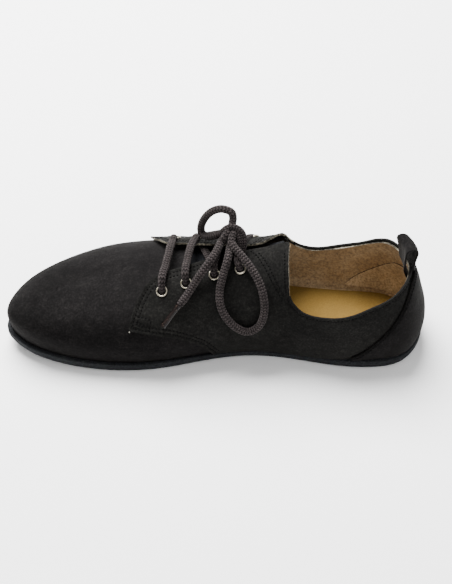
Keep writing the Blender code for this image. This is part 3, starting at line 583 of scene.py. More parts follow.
# %% Sizes and sections of the last
SOLE_LENGTH = 0.282
BALL_WIDTH = 0.100
INSTEP_HEIGHT = 0.085
HEEL_REST_X = 0.040
PLATE_THICKNESS = 0.0042
RIM_HEIGHT = 0.0028
RIM_WIDTH = 0.0040
TOE_SPRING = 0.0075
HEEL_LIFT = 0.0015
ARCH_LIFT = 0.0010
UPPER_WALL = 0.0014
OVERLAY_WALL = 0.0014
SEAM_GAP = 0.0005
OVERLAY_GAP = 0.0006
QUARTER_OUT = OVERLAY_GAP + OVERLAY_WALL
COUNTER_OUT = QUARTER_OUT + SEAM_GAP + OVERLAY_WALL
TUCK = 0.0020
WIDEST_HEIGHT = 0.0120
COLUMNS = ("medial_x", "medial_y", "medial_rim", "lateral_x", "lateral_y", "lateral_rim", "lip",
           "crest_x", "crest_y", "crest_z", "medial_round", "lateral_round")
SECTIONS = (
    (0.000, 0.000, 1.30, 0.000, 0.000, 1.30, 1.00, 0.172, -0.020, 1.240, 1.50, 1.50),
    (0.044, 0.280, 1.25, 0.044, -0.272, 1.25, 1.00, 0.176, -0.020, 1.230, 1.60, 1.60),
    (0.130, 0.361, 1.45, 0.127, -0.367, 1.30, 1.00, 0.195, -0.035, 1.190, 1.90, 1.90),
    (0.230, 0.340, 0.60, 0.225, -0.390, 1.00, 0.85, 0.241, -0.065, 1.080, 2.25, 2.05),
    (0.335, 0.282, 0.58, 0.328, -0.420, 0.75, 0.45, 0.333, -0.100, 0.864, 2.30, 1.82),
    (0.440, 0.272, 0.62, 0.433, -0.480, 0.70, 0.40, 0.433, -0.105, 0.776, 2.15, 1.80),
    (0.546, 0.320, 0.62, 0.539, -0.550, 0.75, 0.75, 0.539, -0.105, 0.692, 2.15, 1.86),
    (0.652, 0.380, 0.75, 0.645, -0.580, 0.80, 0.95, 0.638, -0.105, 0.610, 2.25, 1.95),
    (0.755, 0.386, 0.80, 0.745, -0.560, 0.82, 1.00, 0.727, -0.095, 0.542, 2.35, 2.10),
    (0.848, 0.352, 0.82, 0.833, -0.465, 0.82, 1.00, 0.794, -0.075, 0.500, 2.40, 2.30),
    (0.929, 0.284, 0.80, 0.908, -0.330, 0.80, 1.00, 0.833, -0.050, 0.478, 2.40, 2.40),
    (0.979, 0.190, 0.78, 0.968, -0.155, 0.78, 1.00, 0.858, -0.030, 0.468, 2.35, 2.40),
    (1.000, 0.060, 0.75, 1.000, 0.060, 0.75, 1.00, 0.870, -0.020, 0.464, 2.30, 2.30),
)
TIP = len(SECTIONS) - 1


# %% Smooth curves through the sections
def closed_spline(values):
    """The smooth closed curve through evenly numbered values, as a function of the number."""
    values = np.asarray(values, dtype=float)
    count = len(values)
    ring = np.eye(count)
    system = 4.0 * ring + np.roll(ring, 1, axis=1) + np.roll(ring, -1, axis=1)
    bends = np.linalg.solve(system, 6.0 * (np.roll(values, -1) - 2.0 * values + np.roll(values, 1)))

    def at(number):
        start = np.floor(number).astype(int)
        after = number - start
        before = 1.0 - after
        here, there = start % count, (start + 1) % count
        curve = (bends[here] * (before ** 3 - before) + bends[there] * (after ** 3 - after)) / 6.0
        return values[here] * before + values[there] * after + curve

    return at


def around(medial, lateral, size):
    """Two columns of the table as a closed curve: heel, medial side, toe, lateral side."""
    there = [row[COLUMNS.index(medial)] * size for row in SECTIONS]
    back = [row[COLUMNS.index(lateral)] * size for row in SECTIONS]
    return closed_spline(there + back[-2:0:-1])


EDGE_X = around("medial_x", "lateral_x", SOLE_LENGTH)
EDGE_Y = around("medial_y", "lateral_y", BALL_WIDTH)
RIM = around("medial_rim", "lateral_rim", RIM_WIDTH)
CREST_X = around("crest_x", "crest_x", SOLE_LENGTH)
CREST_Y = around("crest_y", "crest_y", BALL_WIDTH)
CREST_Z = around("crest_z", "crest_z", INSTEP_HEIGHT)
ROUND = around("medial_round", "lateral_round", 1.0)
LIP = around("lip", "lip", RIM_HEIGHT)


def smooth(value):
    value = np.clip(value, 0.0, 1.0)
    return value * value * (3.0 - 2.0 * value)


# Where the toe spring and the arch start, and the heel's lift ends, as shares of the sole's length
SPRING_START = 0.74
HEEL_LIFT_END = 0.06
ARCH_START, ARCH_END = 0.30, 0.60


def lift(x):
    """How far the sole's underside is off the floor, x metres ahead of the heel's back."""
    share = np.asarray(x, float) / SOLE_LENGTH
    toe = np.maximum(0.0, (share - SPRING_START) / (1.0 - SPRING_START))
    heel = np.maximum(0.0, (HEEL_LIFT_END - share) / HEEL_LIFT_END)
    arch = np.clip((share - ARCH_START) / (ARCH_END - ARCH_START), 0.0, 1.0)
    return TOE_SPRING * toe ** 2 + HEEL_LIFT * heel ** 2 + ARCH_LIFT * np.sin(math.pi * arch) ** 2


def edge(place, inset):
    """The sole's edge in plan, moved in by a length."""
    place = np.asarray(place, float)
    step = 0.01
    along_x = EDGE_X(place + step) - EDGE_X(place - step)
    along_y = EDGE_Y(place + step) - EDGE_Y(place - step)
    length = np.hypot(along_x, along_y)
    return EDGE_X(place) + inset * along_y / length, EDGE_Y(place) - inset * along_x / length


# %% A fine table of the last's surface
STEPS_A_SECTION = 40
PLACES = np.linspace(-TIP, TIP, 2 * TIP * STEPS_A_SECTION + 1)
SHARES = np.linspace(0.0, 1.0, 241)


def last_section(place):
    """Points up the last's section at a place, at even shares of its length."""
    foot_x, foot_y = edge(place, RIM(place))
    crest_x, crest_y, crest_z = CREST_X(place), CREST_Y(place), CREST_Z(place)
    reach = math.hypot(foot_x - crest_x, foot_y - crest_y)
    out_x, out_y = (foot_x - crest_x) / reach, (foot_y - crest_y) / reach
    foot_z = float(lift(foot_x)) + PLATE_THICKNESS + SEAM_GAP
    bend_z = foot_z + LIP(place)
    widest_z = bend_z + WIDEST_HEIGHT
    low = np.radians(np.linspace(0.0, 90.0, 9))
    high = np.radians(np.linspace(0.0, 90.0, 121))[1:]
    power = 2.0 / ROUND(place)
    across = np.concatenate(([reach], reach + TUCK * np.sin(low),
                             (reach + TUCK) * np.maximum(0.0, np.cos(high)) ** power))
    height = np.concatenate(([foot_z], bend_z + WIDEST_HEIGHT * np.linspace(0.0, 1.0, 9),
                             widest_z + (crest_z - widest_z) * np.sin(high) ** power))
    points = np.column_stack((crest_x + out_x * across - HEEL_REST_X, crest_y + out_y * across, height))
    runs = runs_along(points)
    return read_line(points, SHARES, runs / runs[-1])


SURFACE = np.array([last_section(place) for place in PLACES])
step_up = np.gradient(SURFACE, axis=1)
wrapped = np.concatenate((SURFACE[-3:-1], SURFACE, SURFACE[1:3]))
step_along = wrapped[4:] - wrapped[:-4]
NORMALS = np.cross(step_up, step_along)
NORMALS /= np.maximum(np.linalg.norm(NORMALS, axis=2), 1e-12)[:, :, None]


def read_table(table, place, share):
    """A table's value at any place and share, between its nearest four."""
    rows, columns = len(PLACES) - 1, len(SHARES) - 1
    number = (np.asarray(place, float) + TIP) / (2.0 * TIP) * rows % rows
    level = np.clip(share, 0.0, 1.0) * columns
    i, j = np.floor(number).astype(int), np.minimum(np.floor(level).astype(int), columns - 1)
    u, v = (number - i)[..., None], (level - j)[..., None]
    return ((table[i, j] * (1 - u) + table[i + 1, j] * u) * (1 - v)
            + (table[i, j + 1] * (1 - u) + table[i + 1, j + 1] * u) * v)


def last(place, share, out=0.0):
    """A point of the last's surface, or of the surface that lies out metres outside it."""
    place, share, out = np.broadcast_arrays(np.asarray(place, float), share, out)
    return read_table(SURFACE, place, share) + outward(place, share) * out[..., None]


def outward(place, share):
    way = read_table(NORMALS, place, share)
    return way / np.maximum(np.linalg.norm(way, axis=-1), 1e-12)[..., None]


def share_at(place, height):
    """The share of the way up the section where the last is that far off the floor."""
    place, height = np.broadcast_arrays(np.asarray(place, float), height)
    heights = [read_table(SURFACE, np.full(len(SHARES), one), SHARES)[:, 2] for one in place.ravel()]
    found = [np.interp(z, row, SHARES) for z, row in zip(height.ravel(), heights)]
    return np.array(found).reshape(place.shape)


def table_curve(rows, count):
    """That many rows, evenly read from the smooth curve through a table's rows."""
    columns = np.array(rows, dtype=float)
    slopes = np.gradient(columns, axis=0)
    numbers = np.linspace(0.0, len(rows) - 1.0, count)
    start = np.minimum(np.floor(numbers).astype(int), len(rows) - 2)
    t = (numbers - start)[:, None]
    a, b, da, db = columns[start], columns[start + 1], slopes[start], slopes[start + 1]
    return (a * (2 * t ** 3 - 3 * t ** 2 + 1) + da * (t ** 3 - 2 * t ** 2 + t)
            + b * (3 * t ** 2 - 2 * t ** 3) + db * (t ** 3 - t ** 2))


print("last:", SURFACE.shape[0], "sections, crest", round(float(SURFACE[:, -1, 2].max()), 4), "m")

# %% [markdown]
# ## Cutting and lasting a blank
# Every leather panel starts as a flat grid. Its points are given a place and a share, and each one moves to
# that spot of the last, pushed out by the layers under it. A Solidify modifier then gives the leather its
# thickness: the flesh side and the cut edge get their own materials. A small bevel breaks the cut edge.
# Modelling the folds on a dense grid keeps them soft, which a few large faces can't.

# %% Blank helpers
# The finish slots of a leather panel: its grain is slot 0
INNER_SLOT, EDGE_SLOT, DYED_SLOT = 1, 2, 3
EDGE_BEVEL = 0.00028


def blank(name, columns, rows):
    """A flat grid of that many points each way, with the share across and the share up of each point."""
    bpy.ops.object.select_all(action="DESELECT")
    bpy.ops.mesh.primitive_grid_add(x_subdivisions=columns - 1, y_subdivisions=rows - 1, size=1.0)
    piece = bpy.context.object
    piece.name = piece.data.name = name
    flat = np.empty(len(piece.data.vertices) * 3)
    piece.data.vertices.foreach_get("co", flat)
    flat = flat.reshape(-1, 3) + 0.5
    across, up = np.rint(flat[:, :2] * (columns - 1, rows - 1)).astype(int).T
    return piece, across, up


def lay(piece, points):
    piece.data.vertices.foreach_set("co", np.asarray(points, float).ravel())
    piece.data.update()


def face_like(piece, ways):
    """Turns the faces to the side that the ways at its points show."""
    flips = 0.0
    # every seventh face is enough to tell
    for face in list(piece.data.polygons)[::7]:
        flips += float(np.dot(face.normal, ways[face.vertices[0]]))
    if flips < 0.0:
        edit(piece)
        bpy.ops.mesh.flip_normals()
        end_edit()


def join_doubles(piece):
    edit(piece)
    bpy.ops.mesh.remove_doubles(threshold=0.00002)
    end_edit()


def give(piece, *materials):
    for material in materials:
        piece.data.materials.append(material)


def thicken(piece, thickness, bevel=0.0):
    """Gives a laid blank its thickness, inwards, and breaks its cut edges."""
    wall = piece.modifiers.new("wall", "SOLIDIFY")
    wall.thickness = thickness
    wall.offset = -1.0
    wall.use_rim = True
    wall.material_offset = INNER_SLOT
    wall.material_offset_rim = EDGE_SLOT
    if bevel:
        soft = piece.modifiers.new("soft_edge", "BEVEL")
        soft.width = bevel
        soft.segments = 2
        soft.limit_method = "ANGLE"
        soft.angle_limit = math.radians(60.0)
        soft.material = EDGE_SLOT
    apply_modifiers(piece)


def panel(piece, points, ways, materials, thickness, bevel=0.0):
    """Lays a blank and makes it a finished panel of leather."""
    lay(piece, points)
    face_like(piece, ways)
    give(piece, *materials)
    thicken(piece, thickness, bevel)


def dye(piece, slot, where=lambda spot: True):
    """Gives the faces of a slot their dyed finish where the test says so; the others stay raw."""
    for face in piece.data.polygons:
        if face.material_index == slot and where(face.center):
            face.material_index = DYED_SLOT


def distance_to(points, line):
    """How far each point is from a line of points, and the share along the line of the nearest spot."""
    line = np.asarray(line, float)
    runs = runs_along(line)
    best = np.full(len(points), 1e9)
    spot = np.zeros(len(points))
    for number in range(len(line) - 1):
        start, way = line[number], line[number + 1] - line[number]
        size = float(way @ way)
        if size < 1e-14:
            continue
        t = np.clip((points - start) @ way / size, 0.0, 1.0)
        far = np.linalg.norm(points - (start + t[:, None] * way), axis=1)
        nearer = far < best
        best[nearer] = far[nearer]
        spot[nearer] = (runs[number] + t[nearer] * math.sqrt(size)) / runs[-1]
    return best, spot


def press(points, ways, line, depth, width):
    """Presses a soft groove of that depth along a line of points, or raises a ridge if depth is negative."""
    far, _ = distance_to(points, line)
    return points - ways * (depth * np.exp(-(far / width) ** 2))[:, None]


def crease(points, ways, line, depth, width):
    """Presses a soft trough of that depth along a line, with a low ridge on either side. It fades at both
    ends. The line is a few places and shares of the last."""
    places, shares = table_curve(line, CURVE_STEPS).T
    far, spot = distance_to(points, last(places, shares, QUARTER_OUT * 0.5))
    fade = np.sin(math.pi * np.clip(spot, 0.02, 0.98)) ** 0.6
    shape = np.exp(-(far / width) ** 2) - 0.45 * np.exp(-((far - 2.1 * width) / (1.1 * width)) ** 2)
    return points - ways * (depth * shape * fade)[:, None]


# %% How far the quarters stand off the last
# The open flap stands off the vamp, and its rear corner a little more: lift, then the place and reach of it
FLAP_LIFT, FLAP_FROM, FLAP_REACH = 0.0034, 4.7, 2.0
CORNER_LIFT, CORNER_AT, CORNER_REACH = 0.0008, 4.10, 0.50
# The lift starts at this share of the section and is whole after the reach
LIFT_FROM, LIFT_REACH = 0.56, 0.26


def flap_lift(place, share):
    along = smooth((np.abs(place) - FLAP_FROM) / FLAP_REACH)
    corner = smooth(1.0 - np.abs(np.abs(place) - CORNER_AT) / CORNER_REACH)
    return (FLAP_LIFT * along + CORNER_LIFT * corner) * smooth((share - LIFT_FROM) / LIFT_REACH)


def quarter_face(place, share):
    """A point of the quarters' outer face."""
    return last(place, share, QUARTER_OUT + flap_lift(place, share))


# %% [markdown]
# ## The vamp and its lining
# One blank goes all round the last: outside it is the vamp, and inside it is the lining that the foot
# feels. The tables below are its top edge, first round the collar and then up the throat to the crest.

# %% Upper
COLLAR = (
    # foot, top, height as a share of INSTEP_HEIGHT
    (0.00, 0.00, 0.745), (0.50, 0.50, 0.742), (1.00, 1.00, 0.728), (1.50, 1.52, 0.688), (2.00, 2.03, 0.640),
    (2.45, 2.50, 0.592), (2.85, 2.95, 0.558), (3.20, 3.35, 0.545), (3.50, 3.65, 0.560), (3.75, 3.86, 0.615),
    (3.95, 3.95, 0.665),
)
THROAT = (
    # foot, top, share of the section
    (3.95, 3.95, 0.620), (4.12, 3.97, 0.665), (4.28, 4.02, 0.715), (4.60, 4.45, 0.745), (5.10, 5.05, 0.755),
    (5.60, 5.60, 0.760), (5.95, 5.93, 0.790), (6.10, 6.10, 0.860), (6.20, 6.18, 0.930), (6.30, 6.24, 1.000),
)
COLLAR_DROP = 0.030
# The lateral collar dips, rises and dips again: place, drop
LATERAL_SWEEP = (
    (0.0, 0.0), (0.25, 0.016), (0.5, 0.024), (0.75, 0.012), (1.05, -0.018), (1.4, -0.040), (1.8, -0.036),
    (2.2, -0.012), (2.6, 0.010), (3.0, 0.028), (3.4, 0.036), (3.7, 0.024), (3.95, 0.0),
)
COLLAR_POINTS, THROAT_POINTS, VAMP_POINTS, UPPER_ROWS = 64, 34, 78, 60
COLLAR_TRIM = 0.006
LINING_WALL = 0.0011
UNDER_COLLAR_OUT = 0.0005
TOE_POLE_RADIUS = 0.006
TOE_POLE_MERGE = 0.0006
# The vamp leans out above this share of its way up, and behind this place; each with the reach of the change
LEAN_ABOVE, LEAN_REACH = 0.78, 0.14
LEAN_BEHIND, LEAN_FADE = 4.30, 0.35
# Ahead of the first the edge is dyed all round, and ahead of the second on the medial side
DYED_FROM, MEDIAL_DYED_FROM = 0.046, -0.012
# Inside the throat, ahead of this and above this, the lining takes the dark dyed finish as painted shade
THROAT_SHADE_FROM, THROAT_SHADE_ABOVE = 0.0515, 0.045


def collar_columns(side, count):
    """Foot, top and share of the columns that end at the collar, heel first, and a little lower outside."""
    foot, top, height = table_curve(COLLAR, count).T
    drop = COLLAR_DROP * smooth(top / 2.0) * (1.0 if side < 0 else 0.0)
    drop = drop + (np.interp(top, *zip(*LATERAL_SWEEP)) if side < 0 else 0.0)
    return side * foot, side * top, share_at(side * top, (height - drop) * INSTEP_HEIGHT)


def upper_columns(side):
    foot, top, share = collar_columns(side, COLLAR_POINTS)
    share = share - COLLAR_TRIM
    throat = table_curve(THROAT, THROAT_POINTS)
    throat = throat[(throat[:, 2] > share[-1] + 0.004) & (throat[:, 0] > THROAT[0][0])]
    back_foot, back_top, _ = THROAT[-1]
    way = np.arange(1, VAMP_POINTS + 1) / VAMP_POINTS
    vamp_foot = back_foot + (TIP - back_foot) * way
    vamp_top = vamp_foot - (back_foot - back_top) * (1.0 - way)
    return np.column_stack((
        np.concatenate((foot, side * throat[:, 0], side * vamp_foot)),
        np.concatenate((top, side * throat[:, 1], side * vamp_top)),
        np.concatenate((share, throat[:, 2], np.ones(VAMP_POINTS))),
    ))


ring = np.vstack((upper_columns(1.0), upper_columns(-1.0)[-2:0:-1], upper_columns(1.0)[:1]))
vamp, column, row = blank("vamp_and_lining", len(ring), UPPER_ROWS)
way = row / (UPPER_ROWS - 1.0)
foot, top, share = ring[column].T
place = foot + (top - foot) * way
level = share * way
ways = outward(place, level)
# Under the quarters' top edge the vamp leans out with them, up to where the flap is free
under_collar = smooth((way - LEAN_ABOVE) / LEAN_REACH) * smooth((LEAN_BEHIND - np.abs(foot)) / LEAN_FADE)
points = last(place, level, (UNDER_COLLAR_OUT + flap_lift(place, level)) * under_collar)
VAMP_CREASES = (
    # places and shares of the last along the crease, depth, width
    (((7.55, 0.80), (7.75, 0.66), (7.70, 0.52), (7.85, 0.40)), 0.0007, 0.0050),
    (((8.10, 0.98), (8.25, 0.80), (8.10, 0.62)), 0.0006, 0.0060),
    (((-7.60, 0.86), (-7.80, 0.68), (-7.70, 0.48)), 0.0007, 0.0055),
    (((-8.30, 0.95), (-8.35, 0.76), (-8.15, 0.58)), 0.0005, 0.0060),
    (((9.30, 0.34), (8.60, 0.40), (8.05, 0.33)), 0.0005, 0.0060),
    (((6.55, 0.16), (6.90, 0.24), (7.40, 0.24)), 0.0006, 0.0045),
    (((6.95, 1.00), (7.20, 0.92), (7.45, 0.78)), 0.0006, 0.0050),
    (((10.90, 0.55), (10.10, 0.62), (9.30, 0.60)), 0.0004, 0.0075),
    # under the medial flap's edge, where the seam pulls the vamp in
    (((7.54, 0.60), (7.56, 0.50), (7.55, 0.40), (7.33, 0.376), (7.12, 0.362), (6.85, 0.340), (6.50, 0.308),
      (6.15, 0.248), (5.88, 0.172), (5.70, 0.078)), 0.0009, 0.0021),
)
for line, depth, width in VAMP_CREASES:
    points = crease(points, ways, line, depth, width)
lay(vamp, points)
face_like(vamp, ways)
give(vamp, VAMP_SUEDE, LINING, RAW_EDGE, DYED_EDGE)
join_doubles(vamp)
# The columns meet in a pole at the toe's crest, which is merged and smoothed
toe_crest = last(TIP, 1.0)
for vertex in vamp.data.vertices:
    vertex.select = float(np.linalg.norm(np.array(vertex.co) - toe_crest)) < TOE_POLE_RADIUS
only(vamp)
bpy.ops.object.mode_set(mode="EDIT")
bpy.ops.mesh.select_mode(type="VERT")
bpy.ops.mesh.remove_doubles(threshold=TOE_POLE_MERGE)
bpy.ops.mesh.select_more()
bpy.ops.mesh.vertices_smooth(factor=0.5, repeat=12)
bpy.ops.mesh.select_all(action="DESELECT")
end_edit()
thicken(vamp, LINING_WALL)
# The collar's edge is raw on the lateral side and round the heel, and inside the throat the lining is painted
# dark as shade with the dyed finish
dye(vamp, EDGE_SLOT, lambda spot: spot.x > DYED_FROM or (spot.y > 0.0 and spot.x > MEDIAL_DYED_FROM))
dye(vamp, INNER_SLOT, lambda spot: spot.x > THROAT_SHADE_FROM and spot.z > THROAT_SHADE_ABOVE)
dress(vamp, "vamp_suede", "upper")

# %% [markdown]
# ## Stitches
# A stitch is a short fat thread that dips into the leather at both ends. One is modelled and copied along
# each row as a single mesh. The row itself is pressed into the leather as a shallow groove first, because
# a tight thread always sinks into suede.

# %% Stitch helpers
STITCH_PITCH = 0.0023
STITCH_LENGTH = 0.0014
STITCH_WIDTH = 0.00095
STITCH_SLANT = 0.06
bpy.ops.object.select_all(action="DESELECT")
bpy.ops.mesh.primitive_uv_sphere_add(segments=8, ring_count=6, radius=0.5)
STITCH_POINTS, STITCH_FACES = take_shape(bpy.context.object)


def resample(line, pitch):
    line = np.asarray(line, float)
    runs = runs_along(line)
    return read_line(line, np.linspace(0.0, runs[-1], max(2, int(runs[-1] / pitch) + 1)), runs)


def sew(name, carrier, lines):
    """Lays stitches along lines, on the surface of the piece that carries them."""
    tree = BVHTree.FromObject(carrier, bpy.context.evaluated_depsgraph_get())
    stitches = []
    for line in lines:
        spots = resample(line, STITCH_PITCH)
        for start, end in zip(spots[:-1], spots[1:]):
            middle, normal, _, _ = tree.find_nearest(Vector((start + end) * 0.5))
            ahead = Vector(end - start).normalized()
            side = normal.cross(ahead).normalized()
            ahead = (ahead + side * rng.uniform(-STITCH_SLANT, STITCH_SLANT)).normalized()
            side = normal.cross(ahead).normalized()
            basis = np.array([ahead[:], side[:], normal[:]])
            scale = np.array([STITCH_LENGTH * rng.uniform(0.92, 1.06), STITCH_WIDTH, STITCH_WIDTH * 0.8])
            stitches.append(STITCH_POINTS * scale @ basis + np.array(middle + normal * (STITCH_WIDTH * 0.12)))
    return add_copies(name, stitches, STITCH_FACES, THREAD)


def offset_line(tree, edge_line, ways, distance):
    """A line on the surface at a distance inside an edge. Spots that come out nearer, as at a corner, are
    dropped."""
    along = np.gradient(edge_line, axis=0)
    along /= np.maximum(np.linalg.norm(along, axis=1), 1e-12)[:, None]
    inward = np.cross(along, ways)
    found = []
    for spot, way in zip(edge_line, inward):
        hit, _, _, _ = tree.find_nearest(Vector(spot + way * distance))
        found.append(hit[:])
    found = np.array(found)
    far, _ = distance_to(found, edge_line)
    return found[far > 0.97 * distance]


# %% [markdown]
# ## The quarters
# The two quarters wrap the heel and carry the eyelets. Their front flaps are open, so they stand off the
# vamp a little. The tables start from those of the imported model. The lateral collar, the flaps' rear corners
# and a few eyelets are moved by some millimetres to where the photograph has them. The eyelet holes are
# punched, and two rows of stitches follow the free edge.

# %% Quarter tables
QUARTER_FRONT = (
    # foot, foot share, top, top share
    (3.95, 0.000, 3.95, 0.620), (4.12, 0.000, 3.96, 0.730), (4.25, 0.000, 3.97, 0.850),
    (4.36, 0.000, 4.00, 0.940), (4.46, 0.000, 4.06, 0.985), (4.75, 0.000, 4.45, 0.988),
    (5.05, 0.000, 4.95, 0.978), (5.36, 0.000, 5.50, 0.945), (5.58, 0.020, 5.90, 0.915),
    (5.70, 0.095, 6.27, 0.885), (5.88, 0.190, 6.64, 0.855), (6.15, 0.265, 6.90, 0.825),
    (6.50, 0.325, 7.09, 0.775), (6.85, 0.355, 7.24, 0.705), (7.12, 0.378, 7.36, 0.615),
    (7.33, 0.395, 7.44, 0.515), (7.45, 0.402, 7.48, 0.430),
)
QUARTER_COLLAR_POINTS, QUARTER_FRONT_POINTS, QUARTER_ROWS = 90, 150, 84
QUARTER_START = 0.02
LATERAL_OPENING = 0.018
LATERAL_SETBACK = 0.045
# The lateral quarter's rear corner is rounded off: foot, drop, and shift towards the toe
LATERAL_CORNER = (
    (3.95, 0.000, 0.00), (4.12, 0.020, 0.05), (4.25, 0.050, 0.15), (4.36, 0.070, 0.26), (4.46, 0.060, 0.34),
    (4.60, 0.040, 0.24), (4.75, 0.020, 0.10), (5.05, 0.000, 0.00),
)
# The medial quarter's rear corner stands a little further back: shift, then the foot place and its reach
MEDIAL_CORNER, MEDIAL_CORNER_AT, MEDIAL_CORNER_REACH = 0.095, 4.45, 0.15
# The front's first few columns would lie on the collar's last ones, so they are left out
FRONT_SKIP = 6
OVERLAY_FOOT = 0.0012
COUNTER_FOOT = 0.0018
EYELETS = (
    # medial place and share of the section, lateral place and share
    (6.76, 0.700, 6.52, 0.725),
    (6.21, 0.742, 5.97, 0.760),
    (5.60, 0.788, 5.32, 0.795),
    (5.05, 0.815, 4.77, 0.775),
)
EYELET_STAND = 0.0008
RING_STAND = EYELET_STAND * 0.35
PUNCH_RADIUS = 0.0029


def lip_share(place, clearance):
    """The share of the section just over the sole's lip."""
    foot_x, _ = edge(place, RIM(np.asarray(place, float)))
    return share_at(place, lift(foot_x) + PLATE_THICKNESS + LIP(np.asarray(place, float)) + clearance)


def quarter_columns(side):
    """Foot place and share, top place and share of each column of a quarter, heel first."""
    foot, top, share = collar_columns(side, QUARTER_COLLAR_POINTS)
    foot = side * np.maximum(np.abs(foot), QUARTER_START)
    top = side * np.maximum(np.abs(top), QUARTER_START)
    collar = np.column_stack((foot, lip_share(foot, OVERLAY_FOOT), top, share))
    foot, low, top, high = table_curve(QUARTER_FRONT, QUARTER_FRONT_POINTS)[FRONT_SKIP:].T
    shift = np.ones_like(foot)
    if side > 0:
        top = top - MEDIAL_CORNER * np.exp(-((foot - MEDIAL_CORNER_AT) / MEDIAL_CORNER_REACH) ** 2)
    else:
        high = high - LATERAL_OPENING * smooth((high - 0.6) / 0.3)
        feet, drops, shifts = zip(*LATERAL_CORNER)
        high = high - np.interp(foot, feet, drops)
        top = top + np.interp(foot, feet, shifts)
        shift = 1.0 - LATERAL_SETBACK * smooth((foot - 5.0) / 2.0)
    foot, top = side * foot * shift, side * top * shift
    front = np.column_stack((foot, np.maximum(low, lip_share(foot, OVERLAY_FOOT)), top, high))
    return np.vstack((collar, front))


def eyelet_seat(side, number):
    """The middle of an eyelet on the quarter's face, and the way out of the shoe there."""
    medial_place, medial_share, lateral_place, lateral_share = EYELETS[number]
    place, share = (medial_place, medial_share) if side > 0 else (-lateral_place, lateral_share)
    step = 0.03
    up = quarter_face(place, share + step) - quarter_face(place, share - step)
    along = quarter_face(place + step, share) - quarter_face(place - step, share)
    way = np.cross(up, along)
    return quarter_face(place, share), way / np.linalg.norm(way)


def punch(piece, side):
    """Takes the faces out of a laid blank under each eyelet."""
    edit(piece, "DESELECT")
    end_edit()
    seats = np.array([eyelet_seat(side, number)[0] for number in range(len(EYELETS))])
    for face in piece.data.polygons:
        face.select = bool(np.linalg.norm(seats - np.array(face.center), axis=1).min() < PUNCH_RADIUS)
    bpy.ops.object.mode_set(mode="EDIT")
    bpy.ops.mesh.select_mode(type="FACE")
    bpy.ops.mesh.delete(type="FACE")
    end_edit()


# %% Quarters
SEAMS = (
    # places and shares: the two rows of the facing, the row at the collar's front, and the box at the flap
    ((4.86, 0.972), (4.70, 0.919), (4.58, 0.853), (4.45, 0.779), (4.34, 0.704), (4.22, 0.628), (4.10, 0.563)),
    ((4.67, 0.946), (4.54, 0.886), (4.38, 0.796), (4.26, 0.711), (4.16, 0.646), (4.07, 0.591)),
    ((4.04, 0.904), (4.04, 0.828), (4.05, 0.740), (4.05, 0.665), (4.03, 0.607)),
    ((7.33, 0.525), (7.17, 0.507), (7.00, 0.487), (7.00, 0.440), (7.01, 0.392)),
    ((7.34, 0.480), (7.18, 0.460), (7.03, 0.438)),
)
QUARTER_CREASES = (
    (((5.05, 0.62), (5.25, 0.50), (5.15, 0.36), (4.90, 0.24)), 0.0007, 0.0060),
    (((4.30, 0.42), (4.15, 0.30), (4.25, 0.18)), 0.0006, 0.0055),
    (((3.35, 0.40), (3.10, 0.30), (2.90, 0.22)), 0.0007, 0.0060),
    (((6.45, 0.62), (6.20, 0.52), (5.90, 0.40)), 0.0005, 0.0050),
    (((2.60, 0.50), (2.20, 0.44), (1.85, 0.42)), 0.0005, 0.0055),
)
STITCH_INSET = (0.0023, 0.0049)
COLLAR_INSET = 0.0024
# Columns: where the facing starts after the collar, and where the collar's row of stitches starts and stops
FACING_START = 50
COLLAR_ROW_FROM, COLLAR_ROW_STOP = 8, 4
SEAM_STEPS = 30
# The front edge is free where its foot is over this share. Ahead of this place a seam moves with the flap
FREE_OVER = 0.035
FLAP_FRONT = 6.0
# Where the medial edge stays raw, from and to along the shoe and above, and where the lateral one does
MEDIAL_RAW_FROM, MEDIAL_RAW_TO, MEDIAL_RAW_ABOVE = 0.044, 0.056, 0.060
LATERAL_RAW_FROM = 0.048
# Depth and width of the groove under a row, of the free edge's swell, and of the counter's mark
ROW_GROOVE = (0.00030, 0.00075)
EDGE_SWELL = (-0.00055, 0.0016)
COUNTER_MARK = (0.00080, 0.0015)
# The line where the heel counter will lie, which presses into the quarters
COUNTER_SEAM = (
    # place, share of the section
    (0.00, 0.490), (0.48, 0.486), (0.72, 0.465), (1.00, 0.415), (1.30, 0.350), (1.58, 0.280), (1.86, 0.210),
    (2.12, 0.145), (2.36, 0.085), (2.52, 0.050),
)
counter_places, counter_shares = zip(*COUNTER_SEAM)


